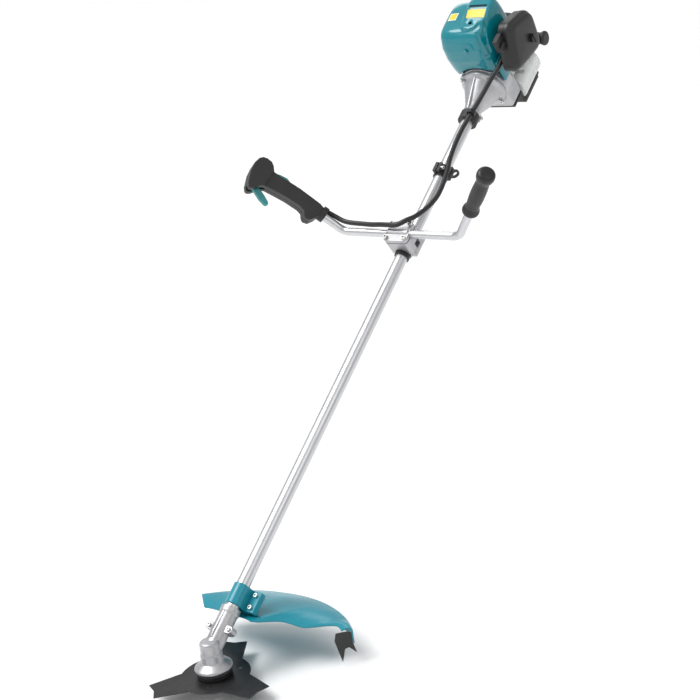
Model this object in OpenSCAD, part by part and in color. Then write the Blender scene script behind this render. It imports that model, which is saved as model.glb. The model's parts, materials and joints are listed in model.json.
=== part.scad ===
// Brush cutter with a U handlebar: a straight pipe with a bevel-gear head and
// three-tooth blade at the front and a small four-stroke engine at the rear.
//
// Working pose: the blade lies level and +Z is its spindle axis. The pipe rises
// along +Y. X runs across, with the throttle grip on the -X side. The origin is
// the centre of the harness hook's eye, on the band that hangs the machine.
//
// Shaft frame: x across, s along the pipe from the crossing of the spindle and
// pipe axes, n square to both and up. Engine frame: the same, with s from the
// front end of the clutch case.

/* [Pipe and drive shaft] */
// Angle between the pipe and the blade's plane, degrees
shaft_angle = 36; // [30:1:42]
// Length of the main pipe
pipe_len = 1340; // [1100:10:1600]
// Outer diameter of the main pipe
pipe_d = 28; // [24:1:32]
// Wall of the main pipe
pipe_wall = 1.5; // [1:0.1:2.5]
// Diameter of the solid drive shaft
drive_shaft_d = 8; // [6:0.5:9]
// Distance from the head to the middle of the handlebar
bar_at = 980; // [800:5:1050]
// Distance from the head to the harness band
hanger_at = 1180; // [1120:5:1220]
// Distance from the head to the middle of the guard's saddle
guard_at = 120; // [110:1:130]

/* [Gear head] */
// Teeth on the gear that turns the blade
gear_teeth = 19; // [17:1:24]
// Teeth on the pinion at the end of the drive shaft
pinion_teeth = 14; // [12:1:15]
// Distance from the axes' crossing to the teeth's outer end
cone_distance = 16; // [14:0.5:17]
// Length of the teeth along the cone
tooth_face = 6; // [4:0.5:7]
// Outer diameter of the gear case's barrel
barrel_d = 41; // [38:1:46]
// Outer diameter of the bell round the spindle bearings
bell_d = 74; // [64:1:80]
// Clearance all round of a running fit
running_gap = 0.05; // [0.02:0.01:0.1]

/* [Blade] */
// Diameter over the blade's teeth
blade_d = 255; // [230:5:260]
// Number of teeth
blade_teeth = 3; // [2:1:4]
// Thickness of the blade
blade_t = 2; // [1.4:0.2:4]
// Diameter of the blade's solid middle
blade_hub_d = 138; // [110:2:150]
// Bore of the blade
blade_bore = 25.4; // [20:0.2:25.4]
// Width of a tooth at its tip
tooth_tip_w = 51; // [30:1:60]
// Width of a tooth at its root
tooth_root_w = 72; // [50:1:80]
// Height of the blade's middle plane below the axes' crossing
blade_drop = 51; // [50:0.5:56]

/* [Guard] */
// Radius of the guard's rim
guard_r = 264; // [250:1:280]
// Depth of the guard's skirt
guard_skirt = 34; // [25:1:45]
// Wall of the guard
guard_wall = 3; // [2:0.5:4]

/* [Handlebar] */
// Diameter of the handlebar's tube
bar_d = 19; // [16:0.5:22]
// Wall of the handlebar's tube
bar_wall = 1.6; // [1.2:0.1:2.5]
// Half of the straight middle of the bar, out to the bends' corners
bar_half = 152; // [120:1:180]
// Height of the bar's middle above the pipe's axis
bar_rise = 38; // [36:0.5:46]
// Length of each arm, from the bend's corner to its end
arm_len = 232; // [200:1:260]
// Angle of the arms above the straight middle, degrees
arm_angle = 51.5; // [40:0.5:70]
// Angle by which the arms lean towards the operator, degrees
arm_lean = 5; // [0:0.5:15]
// Centre-line radius of the bends
bend_r = 34; // [30:1:60]

/* [Grips and controls] */
// Length of the plain grip
plain_grip_len = 142; // [110:1:150]
// Diameter of the plain grip's waist
plain_grip_d = 30; // [28:1:36]
// Pull of the throttle trigger, degrees
trigger_travel = 18; // [10:1:22]
// Travel of the lock-off lever, degrees
lock_travel = 6; // [3:1:8]
// Travel of the stop switch
switch_travel = 4; // [3:0.5:5]

/* [Engine] */
// Radius of the clutch case's flange
flange_r = 56; // [54:1:60]
// Width of the engine cover
cover_w = 130; // [120:1:140]
// Length of the engine cover along the crankshaft
cover_l = 130; // [124:1:140]
// Height of the engine cover's top above the crankshaft
cover_top = 168; // [164:1:176]
// Wall of the moulded covers
cover_wall = 2.2; // [1.6:0.1:3]
// Radius of the recoil starter's housing
recoil_r = 54; // [52:1:60]
// Reach of the starter rope when it is pulled
rope_reach = 700; // [500:50:900]

/* [Hidden] */
$fn = 48;

// Places along the pipe, from the axes' crossing
pipe_start = 25;
pipe_end = pipe_start + pipe_len;
neck_depth = 22;
engine_at = pipe_end - neck_depth;

// Bevel gears: cone angles from the teeth and the angle between the axes
axes_angle = 90 + shaft_angle;
pinion_cone = atan2(sin(axes_angle), gear_teeth / pinion_teeth + cos(axes_angle));
gear_cone = axes_angle - pinion_cone;

// Harness eye on the band, in the shaft frame
eye_r = 6.5;
eye_plate = 6;
eye_x = pipe_d / 2 + 19;

// Frames
module shaft_frame() {
    translate([-eye_x, 0, 0])
        rotate([shaft_angle, 0, 0])
            translate([0, -hanger_at, 0])
                children();
}
module head_frame() {
    shaft_frame() rotate([-shaft_angle, 0, 0]) children();
}
module engine_frame() {
    shaft_frame() translate([0, engine_at, 0]) children();
}
// Turns a shape drawn along +Z so that it runs along the pipe from s
module along(s) {
    translate([0, s, 0]) rotate([-90, 0, 0]) children();
}
// Extrudes an outline drawn in (x, n) along the pipe from s
module outline_along(s, len) {
    translate([0, s + len, 0]) rotate([90, 0, 0]) linear_extrude(len) children();
}
// Extrudes an outline drawn in (s, n) across, from x
module outline_across(x, len) {
    translate([x, 0, 0]) rotate([90, 0, 90]) linear_extrude(len) children();
}
module tube(ro, ri, h) {
    difference() {
        cylinder(r = ro, h = h);
        translate([0, 0, -1]) cylinder(r = ri, h = h + 2);
    }
}
// Outline with rounded corners, made of a cross and four discs
module rounded(w, h, r) {
    union() {
        translate([-w / 2 + r, -h / 2]) square([w - 2 * r, h]);
        translate([-w / 2, -h / 2 + r]) square([w, h - 2 * r]);
        for (i = [-1, 1], j = [-1, 1])
            translate([i * (w / 2 - r), j * (h / 2 - r)]) circle(r = r);
    }
}
// Socket-head screw: head down to its seat at z = 0, shank below
module screw(d, len) {
    translate([0, 0, -len]) cylinder(d = d, h = len + 0.01);
    difference() {
        cylinder(d = 1.7 * d, h = d);
        translate([0, 0, d / 2]) cylinder(d = d, h = d, $fn = 6);
    }
}

// ---------------------------------------------------------------- lofting
// Points of a stack of closed rings, and the faces that join them
function ring_faces(rings, sides) = concat(
    [[for (j = [0 : sides - 1]) j]],
    [for (i = [0 : rings - 2], j = [0 : sides - 1])
        [i * sides + j, (i + 1) * sides + j,
         (i + 1) * sides + (j + 1) % sides, i * sides + (j + 1) % sides]],
    [[for (j = [sides - 1 : -1 : 0]) (rings - 1) * sides + j]]);
function signed_pow(v, p) = sign(v) * pow(abs(v), p);
// Value at x in a table of [x, value] rows, straight between rows
function between(x, table, i = 0) =
    i >= len(table) - 2 || x <= table[i + 1][0]
    ? table[i][1] + (table[i + 1][1] - table[i][1])
        * min(1, max(0, (x - table[i][0]) / (table[i + 1][0] - table[i][0])))
    : between(x, table, i + 1);

// ------------------------------------------------------- pipe, drive shaft
module main_pipe() {
    color("silver") shaft_frame() along(pipe_start)
        tube(pipe_d / 2, pipe_d / 2 - pipe_wall, pipe_len);
}
bush_count = 4;
module shaft_bushes() {
    bore_r = drive_shaft_d / 2 + running_gap;
    color("dimgray") shaft_frame()
        for (i = [1 : bush_count])
            along(pipe_start + pipe_len * i / (bush_count + 1) - 12)
                tube(pipe_d / 2 - pipe_wall, bore_r, 24);
}
module drive_shaft() {
    color("gray") shaft_frame() along(pinion_hub_end - 8)
        cylinder(d = drive_shaft_d, h = engine_at + drum_socket_end - pinion_hub_end + 8);
}

// --------------------------------------------------------------- gear head
gear_r = cone_distance * sin(gear_cone);
pitch_module = 2 * gear_r / gear_teeth;
pinion_bearing_at = 13;
pinion_bearing_r = 12;
pinion_bearing_w = 10;
pinion_shaft_r = 5;
pinion_hub_end = pinion_bearing_at + pinion_bearing_w + 8;
spindle_r = 6;
upper_bearing = [14, 8];
lower_bearing = [17.5, 11];
gear_back = -cone_distance * cos(gear_cone) - 5.5;
upper_bearing_top = gear_back - 0.8;
lower_bearing_top = upper_bearing_top - upper_bearing[1] - 1;
case_bottom = lower_bearing_top - lower_bearing[1] - 5;
chamber_r = barrel_d / 2 - 3.2;
neck_r = pipe_d / 2 + 4.5;
neck_end = 92;

// One bevel tooth about +Z with its apex at the origin: a wedge between the
// small and the large end, narrower at the tip than at the root
module bevel_tooth(cone, half_w, up, down) {
    inner = (cone_distance - tooth_face) / cone_distance;
    function corner(k, w, h) =
        [k * (cone_distance * sin(cone) + h * cos(cone)), k * w,
         k * (cone_distance * cos(cone) - h * sin(cone))];
    points = [for (k = [inner, 1])
        each [corner(k, -half_w * 1.5, -down), corner(k, half_w * 1.5, -down),
              corner(k, half_w * 0.5, up), corner(k, -half_w * 0.5, up)]];
    polyhedron(points, [[3, 2, 1, 0], [4, 5, 6, 7], [1, 5, 4, 0],
                        [2, 6, 5, 1], [3, 7, 6, 2], [0, 4, 7, 3]]);
}
// Bevel gear about +Z, apex at the origin, teeth opening away from it
module bevel_wheel(teeth, cone, back, bore_r) {
    up = 0.75 * pitch_module;
    down = 1.15 * pitch_module;
    root = down - 0.15 * pitch_module;
    k = (cone_distance - tooth_face) / cone_distance;
    ro = cone_distance * sin(cone) - root * cos(cone);
    zo = cone_distance * cos(cone) + root * sin(cone);
    difference() {
        union() {
            rotate_extrude()
                polygon([[0, k * zo], [k * ro, k * zo], [ro, zo], [ro, back], [0, back]]);
            for (i = [0 : teeth - 1])
                rotate(360 / teeth * i)
                    bevel_tooth(cone, 0.2 * PI * pitch_module, up, down);
        }
        if (bore_r > 0)
            translate([0, 0, -1]) cylinder(r = bore_r, h = back + 2);
    }
}
module drive_pinion() {
    color("gray") shaft_frame() difference() {
        union() {
            along(0) rotate(90)
                bevel_wheel(pinion_teeth, pinion_cone, pinion_bearing_at - 0.2, 0);
            along(pinion_bearing_at - 0.5) cylinder(r = pinion_shaft_r, h = pinion_hub_end
                - pinion_bearing_at + 0.5);
            along(pinion_bearing_at + pinion_bearing_w + 0.2)
                cylinder(r = pinion_shaft_r + 3, h = pinion_hub_end - pinion_bearing_at
                    - pinion_bearing_w - 0.2);
        }
        along(pinion_hub_end - 8) cylinder(d = drive_shaft_d, h = 9);
    }
}
module driven_gear() {
    // a gap between two teeth faces the pinion's tooth
    color("gray") head_frame() rotate([180, 0, 0]) rotate(-90 + 180 / gear_teeth)
        bevel_wheel(gear_teeth, gear_cone, -gear_back, spindle_r);
}
module drive_bearings() {
    color("lightgray") {
        shaft_frame() along(pinion_bearing_at)
            tube(pinion_bearing_r, pinion_shaft_r + running_gap, pinion_bearing_w);
        engine_frame() along(26) tube(13, 6 + running_gap, 10);
    }
}
module output_spindle() {
    top = gear_back + 6;
    color("gray") head_frame() union() {
        translate([0, 0, lower_bearing_top]) cylinder(r = spindle_r, h = top - lower_bearing_top);
        translate([0, 0, case_bottom + 1])
            cylinder(r = 7.5, h = lower_bearing_top - case_bottom - 1);
        translate([0, 0, -blade_drop]) cylinder(r = 7, h = case_bottom + 1 + blade_drop);
        translate([0, 0, spindle_end]) cylinder(r = 5, h = -blade_drop - spindle_end);
    }
}
module spindle_bearings() {
    color("lightgray") head_frame() {
        translate([0, 0, upper_bearing_top - upper_bearing[1]])
            tube(upper_bearing[0], spindle_r + running_gap, upper_bearing[1]);
        translate([0, 0, lower_bearing_top - lower_bearing[1]])
            tube(lower_bearing[0], 7.5 + running_gap, lower_bearing[1]);
        translate([0, 0, case_bottom + 1.5])
            tube(lower_bearing[0], 7.5 + running_gap, 3);
    }
}
lug_at = 47;
lug_x = neck_r + 6;
module gear_case() {
    barrel_r = barrel_d / 2;
    bell_r = bell_d / 2;
    top = 23;
    color("gainsboro") difference() {
        union() {
            head_frame() rotate_extrude() polygon(concat(
                [[0, case_bottom], [bell_r, case_bottom], [bell_r, case_bottom + 3],
                 [bell_r - 1.5, case_bottom + 5.5], [barrel_r + 7, case_bottom + 11],
                 [barrel_r + 1.5, case_bottom + 15], [barrel_r + 0.8, -3],
                 [barrel_r - 0.6, -2], [barrel_r - 1, top - 6]],
                [for (a = [15 : 15 : 75])
                    [barrel_r - 7 + 6 * cos(a), top - 6 + 6 * sin(a)]],
                [[barrel_r - 7, top], [0, top]]));
            shaft_frame() {
                along(6) cylinder(r = neck_r, h = neck_end - 6);
                along(neck_end - 12) cylinder(r = neck_r + 1.6, h = 12);
                for (i = [-1, 1]) {
                    translate([i * lug_x, lug_at, -9]) cylinder(r = 8, h = 18);
                    translate([i * lug_x / 2, lug_at, 0])
                        cube([lug_x, 16, 18], center = true);
                }
                outline_across(-2.5, 5) polygon([[18, 0], [neck_end - 14, 0],
                    [neck_end - 14, neck_r + 1], [34, neck_r + 3], [22, neck_r + 1]]);
            }
        }
        // gear chamber, and bearing seats from below
        head_frame() {
            translate([0, 0, upper_bearing_top]) cylinder(r = chamber_r, h = 19.5
                - upper_bearing_top);
            translate([0, 0, case_bottom - 1])
                cylinder(r = lower_bearing[0], h = lower_bearing_top - case_bottom + 1);
            translate([0, 0, lower_bearing_top - 0.5])
                cylinder(r = upper_bearing[0], h = upper_bearing_top - lower_bearing_top + 1);
        }
        // pinion's bore, its bearing's seat and the pipe's socket
        shaft_frame() {
            along(0) cylinder(r = pinion_bearing_r, h = pinion_bearing_at + pinion_bearing_w);
            along(pinion_bearing_at + pinion_bearing_w - 1) cylinder(r = pinion_bearing_r - 1.5,
                h = 4);
            along(pipe_start) cylinder(r = pipe_d / 2, h = neck_end);
            for (i = [-1, 1])
                translate([i * lug_x, lug_at, -12]) cylinder(r = 2.5, h = 24);
        }
    }
}
module gear_case_screws() {
    color("dimgray") shaft_frame() for (i = [-1, 1])
        translate([i * lug_x, lug_at, 9]) screw(5, 22);
}
// ------------------------------------------------------------------- blade
blade_top = -blade_drop + blade_t / 2;
blade_low = -blade_drop - blade_t / 2;
spindle_end = blade_low - 24;
module receiver_washer() {
    color("dimgray") head_frame() difference() {
        rotate_extrude() polygon([[0, case_bottom - 1], [11, case_bottom - 1],
            [bell_d / 2 - 3, case_bottom - 2.5], [bell_d / 2 - 2, case_bottom - 4.5],
            [bell_d / 2 - 3, blade_top + 2], [29, blade_top], [blade_bore / 2 - 0.1, blade_top],
            [blade_bore / 2 - 0.1, blade_top - 1.4], [0, blade_top - 1.4]]);
        translate([0, 0, blade_low - 1]) cylinder(r = 7, h = 40);
    }
}
module blade() {
    reach = blade_d / 2 * cos(11.5);
    head_frame() color("dimgray") translate([0, 0, blade_low]) difference() {
        linear_extrude(blade_t) difference() {
            union() {
                circle(d = blade_hub_d, $fn = 96);
                for (i = [0 : blade_teeth - 1])
                    rotate(-7 + 360 / blade_teeth * i)
                        polygon([[0, -tooth_root_w / 2], [blade_hub_d * 0.45, -tooth_root_w / 2],
                                 [reach, -tooth_tip_w / 2], [reach - 5, 0], [reach, tooth_tip_w / 2],
                                 [blade_hub_d * 0.45, tooth_root_w / 2], [0, tooth_root_w / 2]]);
            }
            for (i = [0 : blade_teeth - 1])
                rotate(-7 + 360 / blade_teeth * (i + 0.5))
                    translate([blade_hub_d * 0.36, 0]) circle(d = 7);
        }
        translate([0, 0, -1]) cylinder(d = blade_bore, h = blade_t + 2);
    }
}
module clamp_washer() {
    color("gray") head_frame() difference() {
        translate([0, 0, blade_low - 4]) cylinder(r = 28, h = 4);
        translate([0, 0, blade_low - 5]) cylinder(r = 5.1, h = 6);
    }
}
module stabiliser_cup() {
    color("gray") head_frame() difference() {
        translate([0, 0, blade_low - 17]) rotate_extrude() polygon([[0, 9], [20, 9], [24, 10.5],
            [34, 12.6], [36, 12], [33, 5], [26, 0], [16, 0], [13, 2], [0, 2]]);
        translate([0, 0, blade_low - 20]) cylinder(r = 5.1, h = 20);
        translate([0, 0, blade_low - 4]) cylinder(r = 28.1, h = 5);
    }
}
module blade_nut() {
    color("silver") head_frame() difference() {
        union() {
            translate([0, 0, blade_low - 18]) cylinder(r = 12, h = 3);
            translate([0, 0, blade_low - 21]) cylinder(r = 9.8, h = 6, $fn = 6);
        }
        translate([0, 0, blade_low - 30]) cylinder(r = 5, h = 30);
    }
}

// ------------------------------------------------------------------- guard
// Polar sections about a point close to the spindle. Rows give the angle and
// the radius, or the height, of the guard's front edge.
guard_centre = [18, -5];
guard_from = 46;
guard_to = 138;
guard_sections = 42;
front_radius = [[46, 243], [51, 238], [55, 176], [66, 142], [71, 92], [74, 86], [112, 92],
                [116, 118], [127, 166], [138, 208]];
rim_height = [[46, -2], [100, -2], [138, 6]];
front_height = [[46, -3], [55, 4], [66, 18], [72, 34], [113, 34], [120, 18], [128, 4], [138, 0]];
function guard_ring(a) =
    let (rf = between(a, front_radius), zf = between(a, front_height),
         w = guard_wall, span = guard_r - rf, z1 = between(a, rim_height))
    [for (q = [[0, zf], [0.3, zf + (z1 - zf) * 0.22 + 2], [0.65, zf + (z1 - zf) * 0.6 + 2.5],
               [0.9, zf + (z1 - zf) * 0.93 + 0.5], [1, z1 - 5], [1, z1 - guard_skirt],
               [1 - w / span, z1 - guard_skirt], [1 - w / span, z1 - 5 - w * 0.5],
               [0.9 - w / span * 0.4, zf + (z1 - zf) * 0.93 + 0.5 - w],
               [0.65, zf + (z1 - zf) * 0.6 + 2.5 - w],
               [0.3, zf + (z1 - zf) * 0.22 + 2 - w], [0, zf - w]])
        [guard_centre[0] + (rf + span * q[0]) * cos(a),
         guard_centre[1] + (rf + span * q[0]) * sin(a), q[1]]];
saddle_len = 44;
module guard() {
    points = [for (i = [0 : guard_sections])
        each guard_ring(guard_from + (guard_to - guard_from) * i / guard_sections)];
    saddle_r = pipe_d / 2 + 3;
    from = guard_at - saddle_len / 2;
    color("steelblue") difference() {
        union() {
            head_frame() polyhedron(points, ring_faces(guard_sections + 1, 12));
            shaft_frame() {
                along(from) cylinder(r = saddle_r, h = saddle_len);
                translate([-saddle_r, from, -30]) cube([2 * saddle_r + 22, saddle_len, 14]);
                translate([-saddle_r, from, -17]) cube([2 * saddle_r, saddle_len, 17]);
                // web down to the roof of the guard
                outline_across(-12, 24) polygon([[from - 8, -24], [from, -28], [from + 42, -28],
                    [from + 24, -68], [from + 6, -50]]);
            }
        }
        shaft_frame() {
            along(guard_at - saddle_len) cylinder(d = pipe_d, h = 2 * saddle_len);
            translate([guard_screw_x - 10, from - 1, -34.2]) cube([40, saddle_len + 2, 4.2]);
            guard_screw_holes();
        }
    }
}
guard_screw_x = pipe_d / 2 + 15;
module guard_screw_holes() {
    for (s = [-13, 13])
        translate([guard_screw_x, guard_at + s, -60]) cylinder(r = 2.5, h = 80);
}
module guard_bracket() {
    color("gray") shaft_frame() difference() {
        translate([guard_screw_x - 9, guard_at - 19, -34]) cube([18, 38, 4]);
        guard_screw_holes();
    }
}
module guard_screws() {
    color("silver") shaft_frame() for (s = [-13, 13])
        translate([guard_screw_x, guard_at + s, -16]) screw(5, 20);
}
module line_knife() {
    color("dimgray") head_frame() translate([guard_centre[0], guard_centre[1], 0])
        rotate(guard_from) rotate([90, 0, 0]) translate([0, 0, -1.6]) linear_extrude(1.5)
            polygon([[guard_r - 38, -24], [guard_r - 36, -34], [guard_r - 28, -71],
                [guard_r - 20, -44], [guard_r - 12, -42], [guard_r + 2, -56],
                [guard_r - 3.2, -34], [guard_r - 3.2, -12], [guard_r - 14, -8],
                [guard_r - 34, -8]]);
}

// --------------------------------------------------------------- handlebar
arm_dir = [cos(arm_angle) * cos(arm_lean), sin(arm_lean), sin(arm_angle) * cos(arm_lean)];
bend_turn = acos(arm_dir[0]);
bend_cut = bend_r * tan(bend_turn / 2);
// Places a child drawn along +Z at the bend's corner, running up an arm. side
// is 1 for +X and -1 for -X. Local X points to the head along the pipe.
module arm_frame(side) {
    shaft_frame() translate([side * bar_half, bar_at, bar_rise])
        multmatrix(arm_matrix(side)) children();
}
function unit(v) = v / norm(v);
function arm_matrix(side) =
    let (z = [side * arm_dir[0], arm_dir[1], arm_dir[2]],
         x = unit([0, -1, 0] - z * (-z[1])),
         y = cross(z, x))
    [[x[0], y[0], z[0], 0], [x[1], y[1], z[1], 0], [x[2], y[2], z[2], 0], [0, 0, 0, 1]];
module bar_solid(d) {
    // the straight tubes run a little way into the bends, which are a hair thicker
    lap = 0.5;
    over = 0.4;
    straight = 2 * (bar_half - bend_cut);
    plane_turn = atan2(arm_dir[2], arm_dir[1]);
    shaft_frame() translate([-straight / 2 - lap, bar_at, bar_rise]) rotate([0, 90, 0])
        cylinder(d = d, h = straight + 2 * lap);
    for (side = [-1, 1])
        shaft_frame() translate([side * straight / 2, bar_at, bar_rise])
            rotate([plane_turn, 0, 0]) mirror([side < 0 ? 1 : 0, 0, 0])
                translate([0, bend_r, 0]) {
                    rotate(-90 - over) rotate_extrude(angle = bend_turn + 2 * over, $fn = 64)
                        translate([bend_r, 0]) circle(d = d + 0.1);
                    rotate(bend_turn) translate([-lap, -bend_r, 0]) rotate([0, 90, 0])
                        cylinder(d = d, h = arm_len - bend_cut + lap);
                }
}
module handlebar() {
    color("silver") difference() {
        bar_solid(bar_d);
        for (side = [-1, 1])
            arm_frame(side) translate([0, 0, arm_len - 60])
                cylinder(d = bar_d - 2 * bar_wall, h = 61);
    }
}
// Bar clamp: a base saddled on the pipe over a rubber sleeve, and a cap
sleeve_t = 3;
clamp_w = 60;
clamp_l = 54;
clamp_bolt_x = 23.6;
clamp_bolt_s = 19;
module clamp_sleeve() {
    color("dimgray") shaft_frame() along(bar_at - 36)
        tube(pipe_d / 2 + sleeve_t, pipe_d / 2, 72);
}
module clamp_holes() {
    for (i = [-1, 1], j = [-1, 1])
        translate([i * clamp_bolt_x, bar_at + j * clamp_bolt_s, -40]) cylinder(r = 3, h = 120);
}
module clamp_base() {
    color("gainsboro") shaft_frame() difference() {
        union() {
            translate([0, bar_at, 2]) linear_extrude(bar_rise - 3) rounded(clamp_w, clamp_l, 9);
            along(bar_at - 25) cylinder(r = pipe_d / 2 + sleeve_t + 2.6, h = 50);
            translate([10, bar_at - 24, -10]) cube([21, 48, 13]);
        }
        along(bar_at - 40) cylinder(r = pipe_d / 2 + sleeve_t, h = 80);
        translate([-clamp_w, bar_at, bar_rise]) rotate([0, 90, 0])
            cylinder(d = bar_d, h = 2 * clamp_w);
        // lightening pockets beside the bar, and the split that closes on the pipe
        for (i = [-1, 1])
            translate([i * 23 - 12, bar_at - 8, 1]) cube([24, 16, 14]);
        translate([0, bar_at - 30, -2]) cube([40, 60, 1.5]);
        clamp_holes();
    }
}
module clamp_cap() {
    color("gainsboro") shaft_frame() difference() {
        union() {
            translate([0, bar_at, bar_rise + 1]) linear_extrude(9) rounded(clamp_w, clamp_l, 9);
            translate([-clamp_w / 2 + 4, bar_at, bar_rise]) rotate([0, 90, 0])
                cylinder(d = bar_d + 9, h = clamp_w - 8);
        }
        translate([-clamp_w, bar_at, bar_rise]) rotate([0, 90, 0])
            cylinder(d = bar_d, h = 2 * clamp_w);
        translate([-clamp_w, bar_at - clamp_l, bar_rise - 40]) cube([2 * clamp_w, 2 * clamp_l, 41]);
        clamp_holes();
    }
}
module clamp_bolts() {
    color("gray") shaft_frame() for (i = [-1, 1], j = [-1, 1])
        translate([i * clamp_bolt_x, bar_at + j * clamp_bolt_s, bar_rise + 10])
            screw(6, bar_rise + 8);
}

// ------------------------------------------------------------ harness band
band_w = 30;
module hanger_band() {
    band_r = pipe_d / 2 + 3;
    color("dimgray") shaft_frame() difference() {
        union() {
            along(hanger_at - band_w / 2) cylinder(r = band_r, h = band_w);
            translate([0, hanger_at - band_w / 2, -7]) cube([band_r + 8, band_w, 14]);
            translate([band_r + 2, hanger_at - 11, -eye_plate / 2])
                cube([eye_x - band_r - 2, 22, eye_plate]);
            translate([eye_x, hanger_at, -eye_plate / 2]) cylinder(r = 11, h = eye_plate);
            translate([-9, hanger_at - 12, band_r - 4]) cube([18, 24, 13]);
        }
        along(hanger_at - band_w) cylinder(d = pipe_d, h = 2 * band_w);
        translate([eye_x, hanger_at, -20]) cylinder(r = eye_r, h = 40);
        translate([-1, hanger_at - band_w, 2]) cube([2, 2 * band_w, 40]);
        translate([-20, hanger_at, band_r + 4]) rotate([0, 90, 0]) cylinder(r = 2.5, h = 40);
    }
}
module hanger_bolt() {
    color("silver") shaft_frame() translate([9, hanger_at, pipe_d / 2 + 7])
        rotate([0, 90, 0]) screw(5, 20);
}

// ---------------------------------------------------------- throttle grip
// In the arm's frame: +Z runs up the arm, +X points forward to the head of the
// machine, where the fingers pull, and Y is across the hand.
grip_from = 66;
grip_head_from = 198;
grip_end = 249;
handle_ry = 14.5;
head_ry = 19;
// Outline of the grip's side, in (forward, up the arm)
module grip_side() {
    polygon([[-11, grip_from], [8, grip_from], [20, grip_from + 4], [32, grip_from + 11],
             [36, grip_from + 22], [31, grip_from + 29], [22, grip_from + 35],
             [19, grip_from + 46], [20, 145], [24, 176], [27, grip_head_from - 2],
             [35, grip_head_from + 11], [49, grip_head_from + 19], [55, grip_head_from + 26],
             [54, grip_head_from + 32], [46, grip_end - 13], [20, grip_end - 4],
             [-3, grip_end - 1], [-18, grip_end - 4], [-26, grip_end - 10],
             [-29, grip_end - 19], [-28, grip_head_from + 19], [-22, grip_head_from + 11],
             [-13.5, grip_head_from + 5], [-13, grip_head_from - 12], [-15, 165], [-17, 135],
             [-16, grip_from + 38], [-15, grip_from + 12]]);
}
module grip_body() {
    intersection() {
        rotate([90, 0, 0]) translate([0, 0, -40]) linear_extrude(80) grip_side();
        union() {
            translate([10, 0, grip_from - 10]) linear_extrude(grip_head_from - grip_from + 18)
                rounded(72, 2 * handle_ry, 14);
            translate([13, 0, grip_head_from + 4]) linear_extrude(60) rounded(100, 2 * head_ry, 10);
        }
    }
}
trigger_pivot = [42, grip_end - 26];
trigger_half = 4.5;
module trigger_slot() {
    // deep enough for the pulled trigger
    back = trigger_pivot[0] - 7.5 - 34 * sin(trigger_travel);
    rotate([90, 0, 0]) translate([0, 0, -trigger_half - 0.5]) linear_extrude(2 * trigger_half + 1)
        polygon([[back, grip_end - 44], [back + 6, grip_end - 56], [back + 6, 160], [70, 160],
                 [70, grip_end - 16], [back, grip_end - 16]]);
}
module grip_cavities() {
    cylinder(d = bar_d, h = arm_len + 1);
    trigger_slot();
    // pocket that the lock-off lever sinks into
    floor_x = lock_pivot[0] + 0.7 + 36 * sin(lock_travel);
    rotate([90, 0, 0]) translate([0, 0, -5]) linear_extrude(10)
        polygon([[-30, 154], [floor_x, 154], [floor_x, grip_head_from + 2],
                 [-30, grip_head_from + 2]]);
    translate([-35, -6, grip_end - 29]) cube([15, 12, 19]);
}
module grip_screw_heads() {
    for (p = [[-16, grip_end - 11, head_ry], [30, grip_end - 12, head_ry],
              [27, grip_from + 18, handle_ry]])
        translate([p[0], -p[2] + 1, p[1]]) rotate([90, 0, 0]) cylinder(r = 2.6, h = 1.5);
}
module grip_shell_front() {
    color("dimgray") arm_frame(-1) difference() {
        grip_body();
        grip_cavities();
        grip_screw_heads();
        translate([-60, 0, 0]) cube([130, 60, 300]);
    }
}
module grip_shell_rear() {
    color("dimgray") arm_frame(-1) difference() {
        grip_body();
        grip_cavities();
        translate([-60, -60, 0]) cube([130, 60, 300]);
    }
}
module grip_screws() {
    color("silver") arm_frame(-1) grip_screw_heads();
}
module grip_collar() {
    color("black") arm_frame(-1) difference() {
        translate([-4, 0, grip_from - 12]) cylinder(r = 18, h = 12);
        translate([0, 0, grip_from - 20]) cylinder(d = bar_d, h = 30);
        translate([-15, 0, grip_from - 20]) cylinder(d = cable_d + 4, h = 30);
    }
}
module throttle_trigger() {
    px = trigger_pivot[0];
    pz = trigger_pivot[1];
    color("teal") arm_frame(-1) rotate([90, 0, 0]) translate([0, 0, -trigger_half]) difference() {
        linear_extrude(2 * trigger_half) union() {
            translate(trigger_pivot) circle(r = 6);
            polygon([[px - 7, pz - 12], [px + 1, pz - 32], [px + 9, pz - 47],
                     [px + 15, pz - 51], [px + 20, pz - 46], [px + 16, pz - 28],
                     [px + 7, pz - 9], [px + 4, pz + 3], [px - 5, pz + 2]]);
        }
        translate([px, pz, -1]) cylinder(r = 2, h = 2 * trigger_half + 2);
    }
}
lock_pivot = [-15, grip_head_from - 4];
lock_half = 4.7;
module lock_off_lever() {
    px = lock_pivot[0];
    pz = lock_pivot[1];
    color("teal") arm_frame(-1) rotate([90, 0, 0]) translate([0, 0, -lock_half]) difference() {
        linear_extrude(2 * lock_half) union() {
            translate(lock_pivot) circle(r = 3.8);
            polygon([[px + 3, pz - 1], [px - 2, pz + 3.5], [px - 6, pz - 8], [px - 9, pz - 24],
                     [px - 6, pz - 34], [px - 1, pz - 36], [px + 1, pz - 24], [px + 2, pz - 8]]);
        }
        translate([px, pz, -1]) cylinder(r = 1.6, h = 2 * lock_half + 2);
    }
}
module stop_switch() {
    color("teal") arm_frame(-1) translate([-33, -5.7, grip_end - 28.7])
        cube([12, 11.4, 18.4 - switch_travel]);
}
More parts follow.
